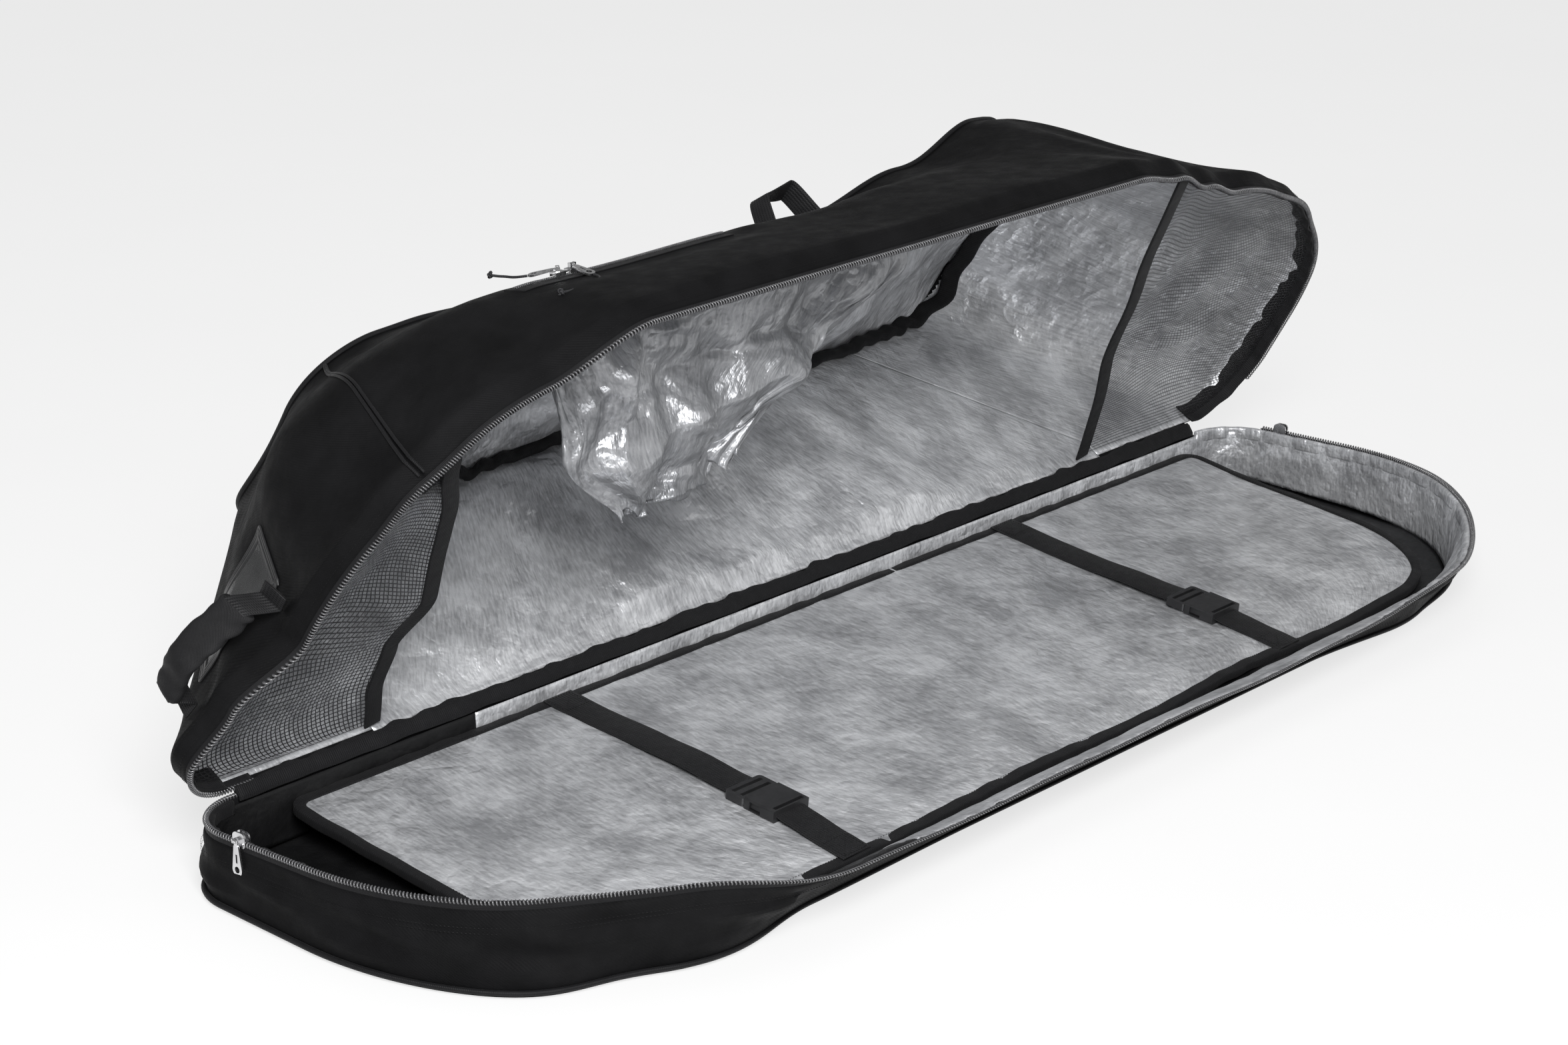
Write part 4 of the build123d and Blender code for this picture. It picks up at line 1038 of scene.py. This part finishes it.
for name, surface, height, inset, body, side in (("tray_stitches_0", tray_rim, -0.0240, -0.0036, "base", 1),
                                                 ("tray_stitches_1", tray_rim, -0.0290, -0.0036, "base", 1),
                                                 ("lid_stitches", lid_point, 0.0165, -0.0004, "lid", 1),
                                                 ("lid_binding_stitches_0", lid_point, 0.0060, 0.0058, "lid", -1),
                                                 ("lid_binding_stitches_1", lid_point, 0.0270, 0.0058, "lid", -1)):
    s = rim_steps(-3.0, 3.0, 0.004)
    path = surface(s, height, inset)
    stitch_row(name, path, side * (path - surface(s, height, inset + 0.003)), body)
for side, x in STRAPS.items():
    for foot, y0, y1 in (("front", -0.153, -0.128), ("back", 0.196, 0.222)):
        box_and_cross = np.array([(-1, y0), (1, y0), (1, y1), (-1, y1), (-1, y0), (1, y1)]) * [0.015, 1] + [x, 0]
        t = np.linspace(0, 5, 120)
        flat = coords(*(np.interp(t, np.arange(6), box_and_cross[:, k]) for k in range(2)))
        height = np.interp(flat[:, 1], [-0.153, -0.128, 0.196, 0.222], [0.0033, 0.0046, 0.0042, 0.0040])
        stitch_row(f"strap_stitches_{side}_{foot}", on_mat(flat, height), MAT_UP, "mat")
flat, inward = outline(np.linspace(0, 8, 900), *MAT)
stitch_row("mat_stitches", on_mat(flat + 0.0080 * inward, 0.0014), MAT_UP, "mat")

# %% [markdown]
# ## Knots on the pull cords
# Each cord ends in a small overhand knot: a tube wound once through its own loop. The same formula gives both, a
# trefoil-like closed turn laid along the cord's last direction.

# %% Cord knots
def knot_piece(name, place, direction, size):
    """Tube along a short trefoil: x = sin t + 2 sin 2t, y = cos t - 2 cos 2t, z = -1.2 sin 3t, scaled down to size,
    with its z axis turned to the cord's direction."""
    t = np.linspace(0, 2 * math.pi, 97)[:-1]
    line = coords(np.sin(t) + 2 * np.sin(2 * t), np.cos(t) - 2 * np.cos(2 * t), -1.2 * np.sin(3 * t)) * size / 3
    z = unit(direction)
    x = unit(np.cross(z, [0.3, 0.4, 0.87]))
    turned = line @ np.stack([x, np.cross(z, x), z])
    return along_path(place + turned, turned + 0.3 * size * z, round_profile(CORD_DIAMETER * 0.42), name, closed=True)


for side, (line, route_points, cord_length) in pull_cords.items():
    body = f"pocket_pull_{side}"
    away = line - open_lid(on_front_side([-0.380, ZIP_UP, -0.030]))
    piece = along_path(line, away, round_profile(CORD_DIAMETER / 2, 10), f"pull_cord_{side}")
    knot = knot_piece(f"pull_cord_knot_{side}", route_points[-1], route_points[-1] - route_points[-2], 0.0030)
    settle_on(knot, body, "pull_cord")
    settle_on(piece, body, "pull_cord", f"pocket_cord_{side}")

# %% [markdown]
# ## Finishes: building blocks
# Every finish is made of the same few nodes: a weave from wave textures in real millimetres, slow noise for uneven
# colour, and a crumple for bump. Each helper here adds a node or two and returns the output that they end in.

# %% Shader helpers
def start_finish(name, **sockets):
    """New material with its Principled shader's own sockets set by name."""
    material = bpy.data.materials.new(name)
    material.use_nodes = True
    tree = material.node_tree
    shader = tree.nodes["Principled BSDF"]
    for key, value in sockets.items():
        shader.inputs[key.replace("_", " ")].default_value = value
    return material, tree, shader


def add(tree, kind, sockets, **settings):
    """One shader node. A socket's value may be a number, or another node's output to join to it."""
    made = tree.nodes.new("ShaderNode" + kind)
    for key, value in settings.items():
        setattr(made, key, value)
    for key, value in sockets.items():
        if isinstance(value, bpy.types.NodeSocket):
            tree.links.new(value, made.inputs[key])
        else:
            made.inputs[key].default_value = value
    return made


def cloth_coords(tree, turn=0.0):
    """The UV map in metres, turned in its plane."""
    uv = add(tree, "TexCoord", {}).outputs["UV"]
    return add(tree, "Mapping", {"Vector": uv, "Rotation": (0.0, 0.0, turn)}).outputs["Vector"]


def solid_coords(tree):
    """The piece's own coordinates in metres."""
    return add(tree, "TexCoord", {}).outputs["Object"]


def ribs(tree, where, pitch, direction="X", uneven=0.0):
    """Parallel ribs with the given pitch in metres, from 0 to 1. A wave texture's own wavelength is 0.314 / scale."""
    return add(tree, "TexWave", {"Vector": where, "Scale": 0.314159 / pitch, "Distortion": uneven, "Detail": 2.0,
                                 "Detail Scale": 1.5}, wave_type="BANDS", bands_direction=direction).outputs["Fac"]


def noise(tree, where, size, detail=4.0, roughness=0.55):
    """Cloudy noise whose blobs are about size metres across."""
    return add(tree, "TexNoise", {"Vector": where, "Scale": 1.0 / size, "Detail": detail,
                                  "Roughness": roughness}).outputs["Fac"]


def combine(tree, kind, a, b):
    """Math of two values."""
    return add(tree, "Math", {0: a, 1: b}, operation=kind).outputs[0]


def weighted(tree, a, weight_a, b, weight_b):
    """Sum of two values, each times its weight."""
    return combine(tree, "ADD", combine(tree, "MULTIPLY", a, weight_a), combine(tree, "MULTIPLY", b, weight_b))


def rescale(tree, value, low, high, to_low, to_high):
    """Value moved from one range to another, and held inside it."""
    return add(tree, "MapRange", {"Value": value, "From Min": low, "From Max": high, "To Min": to_low,
                                  "To Max": to_high}).outputs["Result"]


def crumple(tree, where, size):
    """Sharp creases: distance from the middle value of a noise, so that its contour lines become ridges."""
    return combine(tree, "ABSOLUTE", combine(tree, "SUBTRACT", noise(tree, where, size, 3.0, 0.6), 0.5), 0.0)


def grey(level, blue):
    """Neutral colour, a touch cooler where blue is above level."""
    return level, level, blue


def tone(tree, shader, value, dark, light, low=0.3, high=0.7):
    """Base colour between two tones by a value."""
    ramp = add(tree, "ValToRGB", {"Fac": value})
    for element, position, colour in zip(ramp.color_ramp.elements, (low, high), (dark, light)):
        element.position = position
        element.color = (*colour, 1)
    tree.links.new(ramp.outputs["Color"], shader.inputs["Base Color"])


def relief(tree, shader, layers):
    """Bumps laid on each other: each layer is (value, height in metres)."""
    normal = {}
    for value, height in layers:
        bump = add(tree, "Bump", {"Height": value, "Distance": height, "Strength": 1.0, **normal})
        normal = {"Normal": bump.outputs["Normal"]}
    tree.links.new(normal["Normal"], shader.inputs["Normal"])


def uneven_gloss(tree, shader, value, low, high):
    """Roughness between two amounts by a value."""
    tree.links.new(rescale(tree, value, 0.3, 0.7, low, high), shader.inputs["Roughness"])


# %% [markdown]
# ## Black twill and coated floor cloth
# The outer cloth is polyester twill with fine diagonal ribs and a soft crumple. The floor's cloth is smoother and
# shinier, and creases sharply, so its bump is made of folded ridges at two sizes.

# %% Twill and floor cloth
finishes = {}
material, tree, shader = start_finish("black_twill", Specular_IOR_Level=0.06)
solid = solid_coords(tree)
weave = combine(tree, "ADD", ribs(tree, cloth_coords(tree, math.radians(58)), 0.0011, uneven=0.4),
                ribs(tree, cloth_coords(tree, math.radians(-12)), 0.0009, "Y"))
tone(tree, shader, noise(tree, solid, 0.05), grey(0.0042, 0.0045), grey(0.0078, 0.0084))
uneven_gloss(tree, shader, noise(tree, solid, 0.02), 0.50, 0.66)
relief(tree, shader, [(noise(tree, solid, 0.045, 3.0), 0.0022), (crumple(tree, solid, 0.03), 0.0014), (weave, 0.00012)])
finishes["black_cloth"] = material
material, tree, shader = start_finish("coated_floor_cloth", Specular_IOR_Level=0.32, Coat_Weight=0.06,
                                      Coat_Roughness=0.3)
solid = solid_coords(tree)
weave = ribs(tree, cloth_coords(tree, math.radians(45)), 0.0008)
tone(tree, shader, noise(tree, solid, 0.04), grey(0.0040, 0.0043), grey(0.0072, 0.0077))
uneven_gloss(tree, shader, noise(tree, solid, 0.03), 0.34, 0.50)
relief(tree, shader, [(crumple(tree, solid, 0.060), 0.0050), (crumple(tree, solid, 0.022), 0.0016), (weave, 0.00006)])
finishes["floor_cloth"] = material

# %% [markdown]
# ## Silver lining
# The lining is a woven cloth coated with aluminium. It is half metal: rough enough to look pale and soft, with
# bright facets between its creases and fine threads that run up and down. The pouch is the same cloth in a darker
# copy: painted shade, for where it hangs inside the lid.

# %% Silver lining
def silver_finish(name, dark, light):
    """Aluminium-coated cloth between two grey tones."""
    material, tree, shader = start_finish(name, Metallic=0.55, Specular_IOR_Level=0.5)
    flat, solid = cloth_coords(tree), solid_coords(tree)
    stretched = add(tree, "Mapping", {"Vector": flat, "Scale": (1.0, 0.22, 1.0)}).outputs["Vector"]
    threads = noise(tree, stretched, 0.0034, 2.0)
    tone(tree, shader, weighted(tree, threads, 0.40, noise(tree, solid, 0.06), 0.60), dark, light, 0.38, 0.62)
    uneven_gloss(tree, shader, noise(tree, solid, 0.025), 0.30, 0.44)
    relief(tree, shader, [(crumple(tree, solid, 0.080), 0.0120), (crumple(tree, solid, 0.026), 0.0036),
                          (noise(tree, solid, 0.012, 3.0), 0.0010), (threads, 0.00060)])
    return material


finishes["silver_lining"] = silver_finish("silver_coated_cloth", (0.36, 0.365, 0.38), (0.74, 0.75, 0.77))
# Painted shade: the pouch's copy of the silver cloth is darker only to stand in for the shade inside the lid.
pouch_shaded_cloth = silver_finish("pouch_painted_shade_cloth", (0.18, 0.185, 0.195), (0.38, 0.385, 0.40))

# %% [markdown]
# ## Binding, webbing, tape and cord
# Narrow goods are all woven, with ribs across and along the strip at pitches of their own. The ribs are read from
# the UV map, whose first number is the distance along the strip.

# %% Narrow woven goods
def woven_strip(name, along_pitch, across_pitch, dark, light, roughness, height, angle=0.0):
    """Ribs along and across a strip, mixed by their greater value, with uneven colour."""
    material, tree, shader = start_finish(name, Sheen_Weight=0.02, Sheen_Roughness=0.4, Specular_IOR_Level=0.15)
    flat, solid = cloth_coords(tree, angle), solid_coords(tree)
    woven = combine(tree, "MAXIMUM", ribs(tree, flat, along_pitch, "X"), ribs(tree, flat, across_pitch, "Y"))
    tone(tree, shader, weighted(tree, woven, 0.5, noise(tree, solid, 0.01), 0.5), dark, light, 0.25, 0.85)
    uneven_gloss(tree, shader, noise(tree, solid, 0.008), roughness - 0.06, roughness + 0.08)
    relief(tree, shader, [(noise(tree, solid, 0.02, 3.0), 0.0008), (woven, height)])
    return material


BLACK = grey(0.0045, 0.005)
TAPE_GREY = grey(0.010, 0.011)
finishes["binding"] = woven_strip("ribbed_binding", 0.0022, 0.0011, BLACK, grey(0.012, 0.013), 0.60, 0.0003)
finishes["webbing"] = woven_strip("strap_webbing", 0.0021, 0.0032, BLACK, grey(0.016, 0.017), 0.50, 0.0004)
finishes["zip_tape"] = woven_strip("zip_tape_weave", 0.0012, 0.0014, BLACK, TAPE_GREY, 0.58, 0.0002)
finishes["piping"] = woven_strip("welt_cloth", 0.0016, 0.0013, BLACK, TAPE_GREY, 0.52, 0.0002)
finishes["handle_cloth"] = woven_strip("sleeve_cloth", 0.0012, 0.0012, grey(0.005, 0.0055), grey(0.011, 0.012), 0.55,
                                       0.0002, angle=math.radians(45))
finishes["pull_cord"] = woven_strip("braided_cord", 0.0018, 0.0018, grey(0.008, 0.009), grey(0.040, 0.043), 0.48,
                                    0.0003)

# %% [markdown]
# ## Nets
# The pocket nets are knitted. The right one has fine upright ribs, the left one small six-sided holes. Holes are
# made with the shader's Alpha socket, so that the lining shows between the threads.

# %% Nets
material, tree, shader = start_finish("pocket_net", Roughness=0.55, Specular_IOR_Level=0.35)
flat = cloth_coords(tree)
cells = add(tree, "TexVoronoi", {"Vector": flat, "Scale": 190.0, "Randomness": 0.12}, feature="DISTANCE_TO_EDGE",
            voronoi_dimensions="2D").outputs["Distance"]
thread = rescale(tree, cells, 0.10, 0.16, 1.0, 0.0)
upright = rescale(tree, ribs(tree, flat, 0.0052, "X"), 0.60, 0.90, 0.0, 0.7)
weft = rescale(tree, ribs(tree, flat, 0.0040, "Y"), 0.70, 0.95, 0.0, 0.6)
x = add(tree, "SeparateXYZ", {"Vector": solid_coords(tree)}).outputs["X"]
on_right = combine(tree, "GREATER_THAN", x, 0.0)
ribbed = combine(tree, "MULTIPLY", on_right, combine(tree, "MAXIMUM", upright, weft))
knitted = combine(tree, "MULTIPLY", combine(tree, "SUBTRACT", 1.0, on_right), thread)
cover = combine(tree, "MAXIMUM", ribbed, knitted)
tree.links.new(cover, shader.inputs["Alpha"])
tone(tree, shader, noise(tree, flat, 0.01), grey(0.010, 0.011), grey(0.030, 0.032))
relief(tree, shader, [(cover, 0.0003)])
finishes["mesh"] = material

# %% [markdown]
# ## Coil teeth, buckle plastic, chrome, vinyl, window and card
# Hard pieces read Object coordinates. Plastic has a fine moulded grain, and chrome has faint smudges.

# %% Hard finishes
def hard_finish(slot, name, dark, light, rough, grain, height, size=0.01, **sockets):
    """Moulded or plated surface: uneven tone, uneven gloss and a fine grain."""
    material, tree, shader = start_finish(name, **sockets)
    solid = solid_coords(tree)
    tone(tree, shader, noise(tree, solid, size), dark, light)
    uneven_gloss(tree, shader, noise(tree, solid, size * 0.6), *rough)
    relief(tree, shader, [(noise(tree, solid, grain, 2.0), height)])
    finishes[slot] = material


# The coil teeth are dark nylon. Their grey is lifted above that to paint in the glints along each tooth, so it is
# partly their own colour and partly painted highlight.
hard_finish("zip_coil", "coil_teeth_painted_glints", grey(0.060, 0.063), grey(0.110, 0.115), (0.20, 0.32), 0.001, 0.00005,
            Specular_IOR_Level=0.9)
hard_finish("buckle_plastic", "buckle_plastic", grey(0.011, 0.012), grey(0.019, 0.020), (0.34, 0.46), 0.0006, 0.00006)
hard_finish("slider_chrome", "slider_chrome", grey(0.62, 0.63), grey(0.74, 0.75), (0.16, 0.30), 0.0015, 0.00003,
            Metallic=1.0)
hard_finish("id_vinyl", "pressed_vinyl", grey(0.010, 0.011), grey(0.018, 0.019), (0.36, 0.48), 0.0009, 0.00006)
hard_finish("card", "plain_card", grey(0.022, 0.024), grey(0.032, 0.034), (0.40, 0.55), 0.0008, 0.00003, size=0.03)
hard_finish("id_clear", "clear_window", (0.050, 0.051, 0.052), (0.080, 0.081, 0.082), (0.06, 0.16), 0.012, 0.0006,
            size=0.03, Alpha=0.45, IOR=1.46)
hard_finish("foam", "cell_foam", grey(0.26, 0.26), grey(0.34, 0.34), (0.80, 0.90), 0.0012, 0.0002)
hard_finish("board_plastic", "board_plastic", grey(0.08, 0.08), grey(0.11, 0.11), (0.50, 0.60), 0.002, 0.00006)

# %% [markdown]
# ## Giving out the finishes
# Each piece carries its slot's name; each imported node's slot is in the record. Both lists lead to one material.

# %% Assign finishes
def give(piece, material):
    """One material on the whole piece."""
    piece.data.materials.clear()
    piece.data.materials.append(material)


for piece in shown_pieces():
    if "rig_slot" in piece:
        give(piece, finishes[piece["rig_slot"]])
for part in frame["record"]["subparts"]:
    node_piece = bpy.data.objects.get(part.get("node") or part.get("name"))
    if node_piece is not None and "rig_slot" not in node_piece:
        material = finishes[part.get("material_slot") or part.get("material")]
        if len(node_piece.material_slots) == 0:
            node_piece.data.materials.append(material)
        for material_slot in node_piece.material_slots:
            material_slot.material = material
# The pouch takes the darker copy of the silver cloth, which is painted shade.
give(pouch, pouch_shaded_cloth)

# %% [markdown]
# ## Studio
# A soft key from the upper front left, weak lamps from the right and above, and a plain sky light the bag. The
# floor is pale and keeps the bag's shadow. A mix that reads Light Path lifts it nearly to white for the camera.

# %% Lights, floor and sky
WHITE = (1, 1, 1, 1)


def soft_light(name, place, aim, size, power):
    """Square area lamp at place, turned to aim."""
    data = bpy.data.lights.new(name, "AREA")
    data.size = size
    data.energy = power
    lamp = link(name, data)
    lamp.location = place
    lamp.rotation_euler = (Vector(aim) - Vector(place)).to_track_quat("-Z", "Y").to_euler()


def mix_shaders(tree, output, share, a, b):
    """Two shaders mixed by a share, joined to the tree's output."""
    mixed = add(tree, "MixShader", {0: share, 1: a.outputs[0], 2: b.outputs[0]})
    tree.links.new(mixed.outputs[0], tree.nodes[output].inputs["Surface"])


soft_light("key", (-2.2, -2.0, 2.3), (-0.2, 0.2, 0.15), size=1.3, power=170.0)
soft_light("fill", (2.8, -2.2, 1.8), (0.1, 0.2, 0.15), size=2.2, power=8.0)
soft_light("top", (0.2, 0.6, 3.4), (0.0, 0.2, 0.1), size=2.6, power=16.0)
world = bpy.data.worlds.new("sky")
bpy.context.scene.world = world
world.use_nodes = True
sky = world.node_tree
background = sky.nodes["Background"]
background.inputs["Color"].default_value = WHITE
background.inputs["Strength"].default_value = 0.28
rays = add(sky, "LightPath", {}).outputs
seen = combine(sky, "MAXIMUM", rays["Is Camera Ray"], rays["Is Transmission Ray"])
white = add(sky, "Background", {"Color": WHITE, "Strength": 1.0})
mix_shaders(sky, "World Output", seen, background, white)
FLOOR_HALF, FLOOR_Z = 40, -0.0005
floor_mesh = bpy.data.meshes.new("studio_floor")
floor_mesh.from_pydata([(x * FLOOR_HALF, y * FLOOR_HALF, FLOOR_Z) for x, y in ((-1, -1), (1, -1), (1, 1), (-1, 1))],
                       [], [(0, 1, 2, 3)])
studio_floor = link("studio_floor", floor_mesh)
material, tree, shader = start_finish("studio_floor", Roughness=0.7)
tone(tree, shader, noise(tree, solid_coords(tree), 0.4), grey(0.78, 0.78), grey(0.82, 0.82))
rays = add(tree, "LightPath", {}).outputs
seen = combine(tree, "MAXIMUM", rays["Is Camera Ray"], rays["Is Glossy Ray"])
seen = combine(tree, "MAXIMUM", seen, rays["Is Transmission Ray"])
glow = add(tree, "Emission", {"Color": WHITE, "Strength": 1.0})
mix_shaders(tree, "Material Output", combine(tree, "MULTIPLY", seen, 0.72), shader, glow)
floor_mesh.materials.append(material)
bpy.context.scene.view_settings.view_transform = "Standard"
